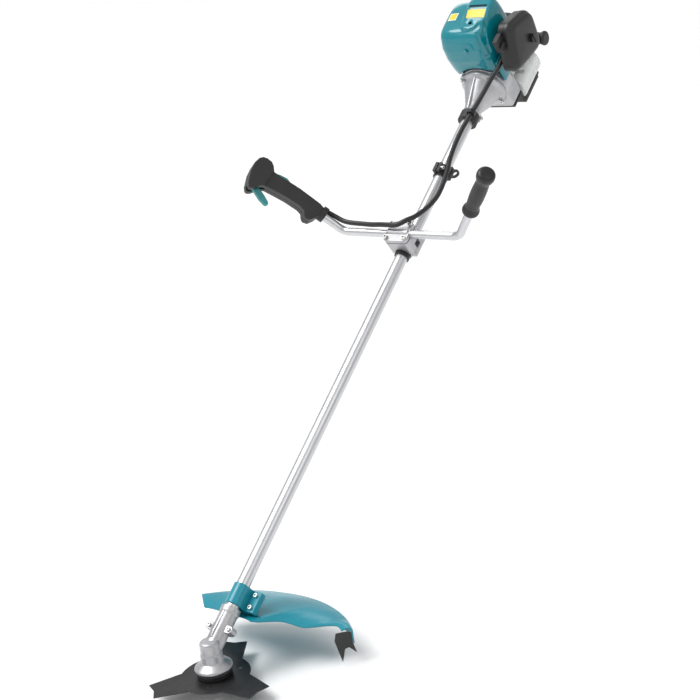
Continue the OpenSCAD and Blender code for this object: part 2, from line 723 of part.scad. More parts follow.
module plain_grip() {
    from = arm_len - plain_grip_len + 4;
    r = plain_grip_d / 2;
    color("black") arm_frame(1) translate([0, 0, from]) difference() {
        rotate_extrude() polygon([[0, 0], [r - 3, 0], [r + 2, 2], [r + 3.5, 6], [r + 3, 12],
            [r - 1, 22], [r - 0.6, 34], [r + 0.6, 55], [r + 0.6, 80],
            [r - 0.4, 100], [r - 1, 112], [r + 3, plain_grip_len - 20],
            [r + 4.5, plain_grip_len - 12], [r + 3.5, plain_grip_len - 4],
            [r - 2, plain_grip_len], [0, plain_grip_len]]);
        translate([0, 0, -1])
            cylinder(d = bar_d + 2 * running_gap, h = plain_grip_len - 4 + 1);
    }
}

// ----------------------------------------------------------- throttle cable
// Route in the shaft frame, held all the way: grip, bar clamp, harness band,
// clutch case's saddle, carburettor
cable_d = 11;
cable_route = [[-193, 1001, 88], [-182, 1000, 76], [-168, 998, 66], [-150, 994, 58],
               [-130, 992, 55], [-100, 991, 54], [-70, 989, 55], [-45, 987, 59],
               [-20, 984, 63], [3, 985, 64], [20, 998, 63], [31, 1018, 53],
               [38, 1052, 40], [42, 1085, 32], [41, 1115, 29], [37, 1145, 28],
               [31, 1175, 27], [24, 1200, 26], [18, 1245, 25], [17, 1290, 25],
               [20, 1320, 26], [23, 1335, 28], [31, 1350, 33], [44, 1380, 44],
               [56, 1408, 55], [66, 1434, 62], [70, 1460, 66], [70, 1488, 66]];
module tube_along(route, d, sides) {
    n = len(route);
    function axis_at(i) = unit(route[min(i + 1, n - 1)] - route[max(i - 1, 0)]);
    function side_at(i) = unit(cross(axis_at(i), [0.2, -0.3, 1]));
    points = [for (i = [0 : n - 1], j = [0 : sides - 1])
        let (t = axis_at(i), u = side_at(i), v = cross(t, u))
        route[i] + d / 2 * (u * cos(360 * j / sides) + v * sin(360 * j / sides))];
    polyhedron(points, ring_faces(n, sides));
}
// Smooth curve through the route's points, with steps between them
function smooth(p, steps) = [for (i = [0 : len(p) - 2], k = [0 : steps - 1])
    let (t = k / steps, a = p[max(i - 1, 0)], b = p[i], c = p[i + 1],
         d = p[min(i + 2, len(p) - 1)])
    0.5 * (2 * b + (c - a) * t + (2 * a - 5 * b + 4 * c - d) * t * t
        + (3 * b - 3 * c + d - a) * t * t * t)];
module throttle_cable() {
    color("black") shaft_frame()
        tube_along(concat(smooth(cable_route, 4), [cable_route[len(cable_route) - 1]]),
                   cable_d, 10);
}
// Rubber collar round the end of the clutch case's neck, with an eye for the cable
clip_from = -14;
clip_eye = [23, 28];
module cable_clip() {
    color("black") engine_frame() difference() {
        union() {
            along(clip_from) cylinder(r = neck_case_r + 2.5, h = 24);
            along(clip_from) translate([clip_eye[0], -clip_eye[1], 0])
                cylinder(r = cable_d / 2 + 5, h = 10);
            along(clip_from) rotate(-atan2(clip_eye[1], clip_eye[0]))
                translate([pipe_d / 2 + 1, -5, 0]) cube([14, 10, 10]);
        }
        along(clip_from - 6) cylinder(d = pipe_d, h = 30);
        along(0) cylinder(r = neck_case_r, h = 30);
        along(clip_from - 1) translate([clip_eye[0], -clip_eye[1], 0])
            cylinder(d = cable_d + 5, h = 12);
    }
}

// ---------------------------------------------------- clutch and crankshaft
// All in the engine frame
neck_case_r = pipe_d / 2 + 6;
cone_end = 86;
case_end = 96;
drum_socket_end = 40;
drum_at = 62;
drum_len = 22;
drum_r = 30;
lobe_r = flange_r - 5;
module clutch_case() {
    color("gainsboro") engine_frame() difference() {
        union() {
            along(0) rotate_extrude($fn = 72) polygon([[0, 0], [neck_case_r, 0],
                [neck_case_r, 24], [neck_case_r + 2, 32],
                [neck_case_r + 10, 50], [neck_case_r + 18, 68], [neck_case_r + 24, cone_end - 4],
                [flange_r - 5, cone_end], [flange_r - 3, cone_end + 2],
                [flange_r - 3, case_end], [0, case_end]]);
            for (a = [45 : 90 : 315])
                along(cone_end - 2) rotate(a) translate([lobe_r, 0]) cylinder(r = 7.5,
                    h = case_end - cone_end + 1.5);
            // rib along the top and the pinch lugs at the bottom of the neck
            outline_across(-2.5, 5) polygon([[12, 16], [cone_end, 30], [cone_end, flange_r - 8],
                [12, neck_case_r + 2]]);
            translate([-9, 12, -neck_case_r - 9]) cube([18, 18, 16]);
        }
        // pipe's socket, bearing's seat and the room round the drum
        along(0) rotate_extrude() polygon([[0, -1], [pipe_d / 2, -1], [pipe_d / 2, neck_depth],
            [11, neck_depth], [11, 26], [13, 26], [13, 37], [17, 38],
            [drum_r + 1.5, drum_at - 2], [drum_r + 1.5, cone_end - 8],
            [flange_r - 9, cone_end], [flange_r - 9, case_end + 1], [0, case_end + 1]]);
        for (a = [45 : 90 : 315])
            along(cone_end - 4) rotate(a) translate([lobe_r, 0]) cylinder(r = 2.5, h = 20);
        translate([-0.8, -1, -40]) cube([1.6, 32, 28]);
        translate([-20, 21, -neck_case_r - 4.5]) rotate([0, 90, 0]) cylinder(r = 2.5, h = 40);
    }
}
module clutch_screws() {
    color("gray") engine_frame() {
        for (a = [45 : 90 : 315])
            along(cone_end - 2) rotate(a) translate([lobe_r, 0]) rotate([180, 0, 0]) screw(5, 24);
        translate([9, 21, -neck_case_r - 4.5]) rotate([0, 90, 0]) screw(5, 20);
    }
}
module clutch_drum() {
    color("gray") engine_frame() difference() {
        union() {
            along(24.5) cylinder(r = 6, h = drum_at - 22);
            along(37) cylinder(r = 9, h = drum_at - 36);
            along(drum_at) cylinder(r = drum_r, h = drum_len);
        }
        along(drum_at + 2.5) cylinder(r = drum_r - 2.5, h = drum_len);
        along(20) cylinder(d = drive_shaft_d, h = drum_socket_end - 20);
    }
}
flywheel_at = 89;
flywheel_r = flange_r - 11;
module clutch_shoes() {
    shoe_r = drum_r - 3.5;
    color("gray") engine_frame() union() {
        difference() {
            along(drum_at + 6) cylinder(r = shoe_r, h = 15);
            along(drum_at + 5) cylinder(r = 14, h = 17);
            translate([-50, drum_at + 5, -2]) cube([100, 17, 4]);
        }
        for (i = [-1, 1])
            along(drum_at + 8) translate([0, i * 20, 0])
                cylinder(r = 4, h = flywheel_at - drum_at - 8);
    }
}
module flywheel() {
    color("silver") engine_frame() difference() {
        union() {
            along(flywheel_at) cylinder(r = flywheel_r, h = 6);
            along(flywheel_at) cylinder(r = 18, h = 22);
            for (a = [0 : 22.5 : 337.5])
                along(flywheel_at + 5.9) rotate(a) translate([17, -1, 0])
                    cube([flywheel_r - 19, 2, 14]);
        }
        along(flywheel_at - 1) cylinder(r = 7, h = 30);
    }
}
crank_from = 86;
crank_end = 222;
crank_throw = 15;
module crankshaft() {
    color("gray") engine_frame() union() {
        along(crank_from) cylinder(r = 7, h = cylinder_at - 10 - crank_from);
        along(cylinder_at + 10) cylinder(r = 7, h = crank_end - cylinder_at - 10);
        for (i = [-1, 1])
            along(cylinder_at - 6 + 10 * i) cylinder(r = 25, h = 12);
        along(cylinder_at - 10) translate([0, -crank_throw, 0]) cylinder(r = 7, h = 20);
    }
}
// Crankcase with the fan housing in front and the oil sump below
fan_end = 134;
sump_low = 78;
module crankcase() {
    color("gainsboro") engine_frame() difference() {
        union() {
            along(case_end) cylinder(r = flange_r - 1, h = fan_end - case_end, $fn = 72);
            for (a = [45 : 90 : 315])
                along(case_end) rotate(a) translate([lobe_r, 0]) cylinder(r = 8, h = 14);
            outline_along(fan_end - 1, 78) rounded(78, 84, 16);
            translate([2, 0, -sump_low / 2 - 6]) outline_along(106, 46)
                rounded(84, sump_low - 12, 14);
        }
        along(case_end - 1) cylinder(r = flange_r - 9, h = 31);
        along(100) cylinder(r = 7 + running_gap, h = 200);
        along(142) cylinder(r = 27, h = 42);
        for (a = [45 : 90 : 315])
            along(case_end - 1) rotate(a) translate([lobe_r, 0]) cylinder(r = 2.5, h = 14);
    }
}
cylinder_at = 162;
head_low = 107;
exhaust_at = 60;
intake_at = 68;
plug_at = [-12, cylinder_at - 29, head_low + 6];
module cylinder_fins() {
    for (i = [0 : 6])
        translate([0, cylinder_at, 56 + 7.5 * i]) linear_extrude(3) rounded(74, 66, 12);
}
module cylinder_block() {
    color("gray") engine_frame() difference() {
        union() {
            translate([0, cylinder_at, 42]) cylinder(r = 27, h = head_low - 41);
            cylinder_fins();
            translate([0, cylinder_at, head_low]) linear_extrude(22) rounded(58, 64, 14);
            translate([-37, cylinder_at, exhaust_at]) rotate([0, 90, 0]) cylinder(r = 13, h = 20);
            translate([20, cylinder_at, intake_at]) rotate([0, 90, 0]) cylinder(r = 13, h = 17);
        }
        // bore for the piston, open to the crankcase
        translate([0, cylinder_at, 41]) cylinder(r = 19.5, h = 62);
        translate(plug_at) rotate([90, 0, 0]) cylinder(r = 5, h = 30);
    }
}
module spark_plug() {
    color("white") engine_frame() translate(plug_at) rotate([90, 0, 0]) union() {
        cylinder(r = 4.9, h = 12);
        translate([0, 0, 3.2]) cylinder(r = 8, h = 6, $fn = 6);
        translate([0, 0, 9]) cylinder(r = 8.5, h = 18);
    }
}
// Muffler on the left of the cylinder, with its outlet facing forward
muffler_x = -41;
muffler_t = 22;
module muffler() {
    color("dimgray") engine_frame() difference() {
        union() {
            translate([muffler_x - muffler_t, 0, 0]) outline_across(0, muffler_t)
                translate([151, 65]) rounded(78, 58, 12);
            translate([muffler_x - 0.5, cylinder_at, exhaust_at]) rotate([0, 90, 0])
                cylinder(r = 11, h = -36.8 - muffler_x);
            translate([muffler_x - 11, 176, 22]) cylinder(r = 8, h = 18);
            for (i = [0 : 3])
                translate([muffler_x - muffler_t - 1.4, 122, 42 + 12 * i]) cube([3, 58, 5]);
        }
        translate([muffler_x - 11, 176, 20]) cylinder(r = 6, h = 22);
    }
}
module carburettor() {
    color("silver") engine_frame() difference() {
        union() {
            translate([37.2, cylinder_at, intake_at]) rotate([0, 90, 0])
                cylinder(r = 14, h = cleaner_x - 37.2);
            translate([44, cylinder_at - 17, intake_at - 17]) cube([24, 34, 34]);
            translate([56, cylinder_at - 8, intake_at - 22]) cylinder(r = 9, h = 8);
            translate([54, cylinder_at - 4, intake_at + 16]) cylinder(r = 9, h = 7);
            // socket of the throttle cable
            along(145.2) translate([70, -66, 0]) cylinder(r = 8, h = 12);
        }
        translate([28, cylinder_at, intake_at]) rotate([0, 90, 0]) cylinder(r = 7, h = 60);
    }
}
// Air cleaner on the right: a flat case against the carburettor and a deep cover
cleaner_x = 80;
// Lobes of the outline, each [along, up, radius]
cleaner_lobes = [[198, 88, 32], [192, 42, 26], [112, 58, 20], [150, 118, 22]];
module cleaner_outline(grow) {
    hull()
        for (lobe = cleaner_lobes)
            translate([lobe[0], lobe[1]]) circle(r = lobe[2] + grow, $fn = 32);
}
module air_cleaner_case() {
    color("dimgray") engine_frame() difference() {
        union() {
            translate([cleaner_x, 0, 0]) rotate([90, 0, 90]) linear_extrude(14)
                cleaner_outline(-1);
            translate([cleaner_x + 2, choke_at[0] - 14, choke_at[1] - 12]) cube([12, 28, 34]);
        }
        translate([cleaner_x - 1, cylinder_at, intake_at]) rotate([0, 90, 0])
            cylinder(r = 7, h = 30);
        translate([cleaner_x + 4, 0, 0]) rotate([90, 0, 90]) linear_extrude(14)
            cleaner_outline(-6);
        translate([cleaner_x, choke_at[0], choke_at[1]]) rotate([0, 90, 0])
            cylinder(r = 3.05, h = 60, center = true);
    }
}
module air_cleaner_cover() {
    x0 = cleaner_x + 14;
    color("dimgray") engine_frame() difference() {
        hull() {
            translate([x0, 0, 0]) rotate([90, 0, 90]) linear_extrude(12) cleaner_outline(0);
            translate([x0, 0, 0]) rotate([90, 0, 90]) linear_extrude(20) cleaner_outline(-5);
            translate([x0, 0, 0]) rotate([90, 0, 90]) linear_extrude(24) cleaner_outline(-12);
        }
        translate([x0 - 1, 0, 0]) rotate([90, 0, 90]) linear_extrude(20) cleaner_outline(-9);
        translate([x0 + 10, knob_at[0], knob_at[1]]) rotate([0, 90, 0])
            cylinder(r = 4.05, h = 20);
    }
}
knob_at = [182, 62];
module air_cleaner_knob() {
    color("black") engine_frame() translate([cleaner_x + 38.3, knob_at[0], knob_at[1]])
        rotate([0, 90, 0]) union() {
            translate([0, 0, -12]) cylinder(r = 4, h = 13);
            cylinder(r = 10, h = 7);
            translate([-11, -2.5, 0]) cube([22, 5, 9]);
        }
}
choke_at = [112, 114];
module choke_lever() {
    color("black") engine_frame() translate([cleaner_x + 14.3, choke_at[0], choke_at[1]])
        rotate([0, 90, 0]) union() {
            translate([0, 0, -16]) cylinder(r = 3, h = 17);
            cylinder(r = 7, h = 4);
            linear_extrude(4) polygon([[-6, -4], [6, -4], [4, -20], [-4, -20]]);
            translate([-4, -22, 0]) cube([8, 4, 9]);
        }
}
// Engine cover: a moulded shell, open below, that closes over the cylinder, with
// a raised bonnet on top. Each row: height, half width, half length, shift along.
cover_mid = [-8, 160];
cover_low = 40;
cover_rows = [[0, 0.95, 0.96, 0], [0.12, 0.98, 0.98, 0], [0.4, 1, 1, 0],
              [0.66, 0.995, 0.97, 2], [0.82, 0.97, 0.92, 5], [0.92, 0.92, 0.84, 8],
              [0.98, 0.85, 0.75, 10], [1, 0.74, 0.64, 12]];
bonnet_mid = [23, 182];
bonnet_rows = [[0, 1, 1, 0], [0.4, 1, 1, 0], [0.75, 0.96, 0.96, 0], [0.94, 0.88, 0.9, 1],
               [1, 0.76, 0.8, 2]];
cover_sides = 40;
// Stack of rounded-square rings, closed above and below
module moulded(rows, mid, half_w, half_l, low, high, power, inset) {
    points = [for (row = rows)
        let (a = half_w * row[1] - inset, b = half_l * row[2] - inset,
             z = low + (high - low) * row[0] - (row[0] > 0 ? inset : 2 * inset))
        each [for (j = [0 : cover_sides - 1])
            let (t = 360 * j / cover_sides)
            [mid[0] + a * signed_pow(cos(t), 2 / power),
             mid[1] + row[3] + b * signed_pow(sin(t), 2 / power), z]]];
    polyhedron(points, ring_faces(len(rows), cover_sides));
}
module cover_solid(inset) {
    moulded(cover_rows, cover_mid, cover_w / 2, cover_l / 2, cover_low, cover_top - 20, 4.6, inset);
    moulded(bonnet_rows, bonnet_mid, 34, 40, cover_top - 50, cover_top, 4, inset);
}
module engine_cover() {
    color("teal") engine_frame() difference() {
        union() {
            cover_solid(0);
            // skirt that reaches down on the right, ahead of the carburettor
            translate([cover_mid[0] + cover_w / 2 - 2.2, cover_mid[1] - cover_l / 2 + 8, 10])
                cube([4.2, 36, 58]);
        }
        cover_solid(cover_wall);
        // arch over the clutch case's flange
        along(cover_mid[1] - cover_l / 2 - 10) cylinder(r = flange_r + 4, h = 60);
        along(recoil_from - 4) cylinder(r = recoil_r + 1.5, h = 40);
        cover_screw_heads();
        // cooling slots in the rear wall
        for (i = [0 : 5])
            translate([-44, 205, 66 + 11 * i]) cube([70, 40, 5]);
        // slot in the bonnet's front, and the opening for the carburettor
        translate([bonnet_mid[0] - 22, bonnet_mid[1] - 50, cover_top - 12]) cube([44, 14, 4]);
        translate([46, 139, 28]) cube([40, 60, 78]);
    }
}
module cover_screw_heads() {
    translate([2, cover_mid[1] - cover_l / 2 + 3.6, 112]) rotate([90, 0, 0])
        cylinder(r = 5, h = 4);
    for (i = [-1, 1])
        translate([cover_mid[0] + i * 44, cover_mid[1] + 8, cover_top - 23]) cylinder(r = 4.5, h = 3);
}
module cover_screws() {
    color("gray") engine_frame() cover_screw_heads();
}
// Fuel tank, slung below the crankcase behind the sump
tank_l = 96;
tank_w = 100;
tank_h = 56;
tank_from = 156;
tank_top = -46;
module fuel_tank() {
    color("whitesmoke") engine_frame() union() {
        translate([0, 0, tank_top - tank_h / 2]) difference() {
            outline_along(tank_from, tank_l) rounded(tank_w, tank_h, 20);
            translate([-tank_w / 2 - 1, tank_from + 26, tank_h / 2 - 6])
                cube([tank_w + 2, 12, 10]);
            // hollow under the starter's housing
            translate([0, 0, tank_h / 2 - tank_top])
                along(recoil_from - 6) cylinder(r = recoil_r + 2, h = 90);
        }
        translate([-tank_w / 2 + 1, tank_from + 64, tank_top - tank_h / 2]) rotate([0, -90, 0])
            cylinder(r = 16, h = 8);
    }
}
module fuel_cap() {
    color("black") engine_frame() translate([-tank_w / 2 - 7.3, tank_from + 64,
        tank_top - tank_h / 2]) rotate([0, -90, 0]) difference() {
            union() {
                cylinder(r = 20, h = 13);
                for (i = [0 : 11]) rotate(30 * i) translate([18.5, -3, 0]) cube([3, 6, 13]);
            }
            translate([0, 0, 13 - 3]) difference() {
                cylinder(r = 15, h = 4);
                translate([-16, -2.5, -1]) cube([32, 5, 6]);
            }
        }
}
module tank_stand() {
    low = tank_top - tank_h;
    color("black") engine_frame() union() {
        translate([2, 0, -sump_low - 4]) outline_along(110, 45) rounded(76, 8, 3.5);
        translate([-34, 148, low - 8]) cube([72, 7, -sump_low - low + 8]);
        translate([2, 0, low - 4.5]) outline_along(148, 92) rounded(76, 9, 4);
        for (i = [-1, 1])
            translate([2 + i * 32, 0, low - 9]) outline_along(152, 80) rounded(12, 10, 4);
    }
}
// Recoil starter: a cup behind the crankcase, the rope's reel and the handle
recoil_from = 214;
recoil_end = 284;
reel_r = 24;
exit_at = [recoil_from + 52, -reel_r];
rope_d = 3;
rope_w = 15;
// Layers of rope on the reel, with a turn and a half to spare, under its last turn
rope_layers = ceil((rope_reach / (2 * PI * reel_r) + 1.5) / (rope_w / rope_d));
rope_top_r = reel_r + rope_d / 2;
reel_core_r = rope_top_r - rope_d * rope_layers;
module recoil_housing() {
    depth = recoil_end - recoil_from;
    color("dimgray") engine_frame() difference() {
        union() {
            difference() {
                union() {
                    along(recoil_from) rotate_extrude($fn = 72) polygon([[0, 0], [recoil_r, 0],
                        [recoil_r, depth - 12], [recoil_r - 3, depth - 5],
                        [recoil_r - 10, depth], [0, depth]]);
                    translate([40, exit_at[0], exit_at[1]]) rotate([0, 90, 0])
                        cylinder(r = 18, h = recoil_r - 40);
                }
                along(recoil_from - 1) cylinder(r = recoil_r - 3, h = depth - 5);
                for (a = [0 : 15 : 345])
                    along(recoil_end - 10) rotate(a) translate([30, -2, 0]) cube([18, 4, 20]);
            }
            // post that the reel turns on
            along(exit_at[0] - 16) cylinder(r = 7, h = recoil_end - exit_at[0] + 12);
        }
        translate([30, exit_at[0], exit_at[1]]) rotate([0, 90, 0]) cylinder(r = 3, h = 60);
    }
}
module starter_reel() {
    color("black") engine_frame() difference() {
        union() {
            along(exit_at[0] - 9) cylinder(r = reel_core_r, h = 18);
            along(exit_at[0] - 11) cylinder(r = reel_r + 10, h = 3);
            along(exit_at[0] + 8) cylinder(r = reel_r + 10, h = 3);
        }
        along(exit_at[0] - 30) cylinder(r = 7.05, h = 60);
    }
}
module starter_rope() {
    color("white") engine_frame() along(exit_at[0] - rope_w / 2)
        tube(rope_top_r, reel_core_r, rope_w);
}
module starter_handle() {
    color("black") engine_frame() translate([recoil_r + 0.5, exit_at[0], exit_at[1]])
        rotate([0, 90, 0]) rotate_extrude() polygon([[0, -22], [2.4, -22], [2.4, 0], [10, 0],
            [14, 3], [15, 8], [13, 14], [15, 20], [17, 25], [16, 29], [12, 31], [0, 31]]);
}

main_pipe();
drive_shaft();
shaft_bushes();
gear_case();
gear_case_screws();
drive_pinion();
driven_gear();
output_spindle();
drive_bearings();
spindle_bearings();
receiver_washer();
blade();
clamp_washer();
stabiliser_cup();
blade_nut();
guard();
guard_bracket();
guard_screws();
line_knife();
handlebar();
clamp_sleeve();
clamp_base();
clamp_cap();
clamp_bolts();
hanger_band();
hanger_bolt();
grip_shell_front();
grip_shell_rear();
grip_screws();
grip_collar();
throttle_trigger();
lock_off_lever();
stop_switch();
plain_grip();
throttle_cable();
cable_clip();
clutch_case();
clutch_screws();
clutch_drum();
clutch_shoes();
flywheel();
crankshaft();
crankcase();
cylinder_block();
spark_plug();
muffler();
carburettor();
air_cleaner_case();
air_cleaner_cover();
air_cleaner_knob();
choke_lever();
engine_cover();
cover_screws();
fuel_tank();
fuel_cap();
tank_stand();
recoil_housing();
starter_reel();
starter_rope();
starter_handle();
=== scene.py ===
"""The finishes and moulded pieces of a brush cutter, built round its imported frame."""

import json
import math

import bmesh
import bpy
import numpy as np
from bpy.props import FloatProperty, FloatVectorProperty, IntProperty, PointerProperty
from bpy.types import Operator, Panel, PropertyGroup
from mathutils import Matrix, Vector
from mathutils.bvhtree import BVHTree


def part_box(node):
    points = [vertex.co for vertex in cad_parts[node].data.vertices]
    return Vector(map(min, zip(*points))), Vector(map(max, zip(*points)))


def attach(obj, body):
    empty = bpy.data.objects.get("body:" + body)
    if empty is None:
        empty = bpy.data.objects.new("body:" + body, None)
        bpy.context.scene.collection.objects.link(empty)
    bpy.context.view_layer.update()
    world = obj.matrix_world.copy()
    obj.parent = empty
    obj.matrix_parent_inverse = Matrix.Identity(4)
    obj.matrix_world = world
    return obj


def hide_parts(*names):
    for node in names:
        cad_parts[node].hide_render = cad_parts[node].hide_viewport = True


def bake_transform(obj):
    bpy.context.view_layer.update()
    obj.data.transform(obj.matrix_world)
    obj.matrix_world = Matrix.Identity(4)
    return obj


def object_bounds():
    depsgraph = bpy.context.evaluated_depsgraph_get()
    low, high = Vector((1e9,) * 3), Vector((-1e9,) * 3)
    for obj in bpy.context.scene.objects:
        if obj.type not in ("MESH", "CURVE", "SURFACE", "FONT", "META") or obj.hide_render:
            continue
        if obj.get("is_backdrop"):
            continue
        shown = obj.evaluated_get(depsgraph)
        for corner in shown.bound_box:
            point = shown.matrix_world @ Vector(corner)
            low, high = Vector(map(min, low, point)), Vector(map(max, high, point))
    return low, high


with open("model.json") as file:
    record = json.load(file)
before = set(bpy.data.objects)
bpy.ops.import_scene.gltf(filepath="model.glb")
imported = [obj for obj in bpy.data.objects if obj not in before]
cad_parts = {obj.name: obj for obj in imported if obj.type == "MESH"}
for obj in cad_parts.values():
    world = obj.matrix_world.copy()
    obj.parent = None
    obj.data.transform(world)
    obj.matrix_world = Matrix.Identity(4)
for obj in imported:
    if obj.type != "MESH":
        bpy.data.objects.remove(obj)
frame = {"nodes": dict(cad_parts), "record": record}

bl_info = {
    "name": "Brush Cutter Finishes",
    "version": (1, 0, 0),
    "blender": (4, 5, 0),
    "location": "3D View > Sidebar > Brush Cutter",
    "description": "Moulded pieces, castings, finishes and stage of a brush cutter",
    "category": "Object",
}

# ------------------------------------------------------------------ the frame
# Sizes that the pieces share with the frame, in millimetres and degrees.
SHAFT_ANGLE = math.radians(36)
HANGER_AT = 1180
EYE_X = 33
ENGINE_AT = 1343
BAR_AT, BAR_RISE, BAR_HALF = 980, 38, 152
ARM_ANGLE, ARM_LEAN = math.radians(51.5), math.radians(5)
ARM_LEN = 232
PIPE_R = 14
GUARD_AT = 120
BODY_OF = {
    node: body
    for body, nodes in frame["record"]["behaviour"]["bodies"].items()
    for node in nodes
}
MM = Matrix.Scale(0.001, 4)


def _shaft():
    """Places (across, along the pipe, square to it) in the row frame."""
    c, s = math.cos(SHAFT_ANGLE), math.sin(SHAFT_ANGLE)
    return MM @ Matrix(
        (
            (1, 0, 0, -EYE_X),
            (0, c, -s, -HANGER_AT * c),
            (0, s, c, -HANGER_AT * s),
            (0, 0, 0, 1),
        )
    )


SHAFT = _shaft()
ENGINE = SHAFT @ Matrix.Translation((0, ENGINE_AT, 0))
HEAD = SHAFT @ Matrix.Rotation(-SHAFT_ANGLE, 4, "X")


def _arm(side):
    """Local Z runs up an arm of the handlebar and X points to the head along the pipe."""
    z = Vector(
        (
            side * math.cos(ARM_ANGLE) * math.cos(ARM_LEAN),
            math.sin(ARM_LEAN),
            math.sin(ARM_ANGLE) * math.cos(ARM_LEAN),
        )
    )
    x = (Vector((0, -1, 0)) + z * z.y).normalized()
    y = z.cross(x)
    turn = Matrix((x, y, z)).transposed().to_4x4()
    return SHAFT @ Matrix.Translation((side * BAR_HALF, BAR_AT, BAR_RISE)) @ turn


# --------------------------------------------------------------------- meshes
def mesh_object(name, points, faces, place):
    """A mesh from points in a local frame, put where it belongs in the row frame."""
    mesh = bpy.data.meshes.new(name)
    mesh.from_pydata([tuple(p) for p in points], [], [tuple(f) for f in faces])
    mesh.transform(place)
    made = bpy.data.objects.new(name, mesh)
    bpy.context.scene.collection.objects.link(made)
    return made


def stacked(rings, closed=True, caps=True):
    """Points and faces of rings of equal count joined in order, with flat ends."""
    rings = [np.asarray(r, float) for r in rings]
    n = len(rings[0])
    points = np.vstack(rings)
    faces = []
    for i in range(len(rings) - 1):
        for j in range(n if closed else n - 1):
            k = (j + 1) % n
            faces.append((i * n + j, i * n + k, (i + 1) * n + k, (i + 1) * n + j))
    if caps:
        faces.append(tuple(range(n - 1, -1, -1)))
        last = (len(rings) - 1) * n
        faces.append(tuple(range(last, last + n)))
    return points, faces


def clean(made, outward=True):
    """Merges doubles and turns every face outwards."""
    work = bmesh.new()
    work.from_mesh(made.data)
    bmesh.ops.remove_doubles(work, verts=work.verts, dist=1e-6)
    if outward:
        bmesh.ops.recalc_face_normals(work, faces=work.faces)
    work.to_mesh(made.data)
    work.free()
    return made


def settle(made):
    """Replaces an object's mesh by what its modifiers make of it."""
    graph = bpy.context.evaluated_depsgraph_get()
    mesh = bpy.data.meshes.new_from_object(made.evaluated_get(graph), depsgraph=graph)
    made.modifiers.clear()
    made.data = mesh
    return made


def smooth(made, angle=40):
    made.data.shade_smooth()
    made.data.set_sharp_from_angle(angle=math.radians(angle))
    return made


def combine(made, other, operation):
    """Cuts a second closed solid out of the first, or joins it on, and uses it up."""
    step = made.modifiers.new("Combine", "BOOLEAN")
    step.operation, step.solver, step.object = operation, "MANIFOLD", other
    bpy.context.view_layer.update()
    settle(made)
    bpy.data.objects.remove(other)


def carve(made, cutter):
    combine(made, cutter, "DIFFERENCE")


def fuse(made, other):
    combine(made, other, "UNION")


def block(name, low, high, place):
    corners = [
        (x, y, z)
        for z in (low[2], high[2])
        for x, y in ((low[0], low[1]), (high[0], low[1]), (high[0], high[1]), (low[0], high[1]))
    ]
    faces = [(3, 2, 1, 0), (4, 5, 6, 7), (0, 1, 5, 4), (1, 2, 6, 5), (2, 3, 7, 6), (3, 0, 4, 7)]
    return mesh_object(name, corners, faces, place)


def ease_edges(made, width, segments):
    """Rounds every edge of a block."""
    ease = made.modifiers.new("Ease", "BEVEL")
    ease.width, ease.segments = width, segments
    bpy.context.view_layer.update()
    return settle(made)


def turned(name, profile, place, sides=96):
    """A solid of revolution about local Z from rows of (height, radius)."""
    t = np.linspace(0, 2 * math.pi, sides, endpoint=False)
    rings = [
        np.column_stack((r * np.cos(t), r * np.sin(t), np.full(sides, z))) for z, r in profile
    ]
    points, faces = stacked(rings)
    return mesh_object(name, points, faces, place)


def along_y(x=0.0, s=0.0, n=0.0):
    """Turns local Z to run along the pipe, from a place beside it."""
    return Matrix.Translation((x, s, n)) @ Matrix.Rotation(-math.pi / 2, 4, "X")


def along_x(x=0.0, s=0.0, n=0.0):
    """Turns local Z to run across the machine to the right."""
    return Matrix.Translation((x, s, n)) @ Matrix.Rotation(math.pi / 2, 4, "Y")


def eased(values, rounds=2):
    """A row of numbers with its corners taken off."""
    v = np.asarray(values, float)
    for _ in range(rounds):
        v[1:-1] = (v[:-2] + 2 * v[1:-1] + v[2:]) / 4
    return v


def curve_points(points, steps):
    """A smooth curve through points, ends included."""
    p = np.asarray(points, float)
    out = []
    for i in range(len(p) - 1):
        a, b, c, d = p[max(i - 1, 0)], p[i], p[i + 1], p[min(i + 2, len(p) - 1)]
        for k in range(steps):
            t = k / steps
            out.append(
                0.5
                * (
                    2 * b
                    + (c - a) * t
                    + (2 * a - 5 * b + 4 * c - d) * t**2
                    + (3 * b - 3 * c + d - a) * t**3
                )
            )
    out.append(p[-1])
    return np.array(out)


def swept(name, path, radii, place, sides=32):
    """A round tube along a path, with a radius at each of its points."""
    path = np.asarray(path, float)
    tangent = np.gradient(path, axis=0)
    tangent /= np.linalg.norm(tangent, axis=1)[:, None]
    side = np.cross(tangent[0], (0.21, -0.3, 1.0))
    rings, t = [], np.linspace(0, 2 * math.pi, sides, endpoint=False)
    for point, axis, r in zip(path, tangent, np.broadcast_to(radii, len(path))):
        side = side - axis * (side @ axis)
        side /= np.linalg.norm(side)
        other = np.cross(axis, side)
        rings.append(point + r * (np.outer(np.cos(t), side) + np.outer(np.sin(t), other)))
    points, faces = stacked(rings)
    return clean(mesh_object(name, points, faces, place))


def cast_copy(node, name, voxel, rounds):
    """The frame's piece again with the eased corners of a casting or moulding."""
    mesh = frame["nodes"][node].data.copy()
    mesh.materials.clear()
    made = bpy.data.objects.new(name, mesh)
    bpy.context.scene.collection.objects.link(made)
    clean(made, outward=False)
    skin = made.modifiers.new("Skin", "REMESH")
    skin.mode, skin.voxel_size, skin.use_smooth_shade = "VOXEL", voxel * 0.001, True
    ease = made.modifiers.new("Ease", "SMOOTH")
    ease.factor, ease.iterations = 0.5, rounds
    bpy.context.view_layer.update()
    settle(made)
    made.data.shade_smooth()
    return made


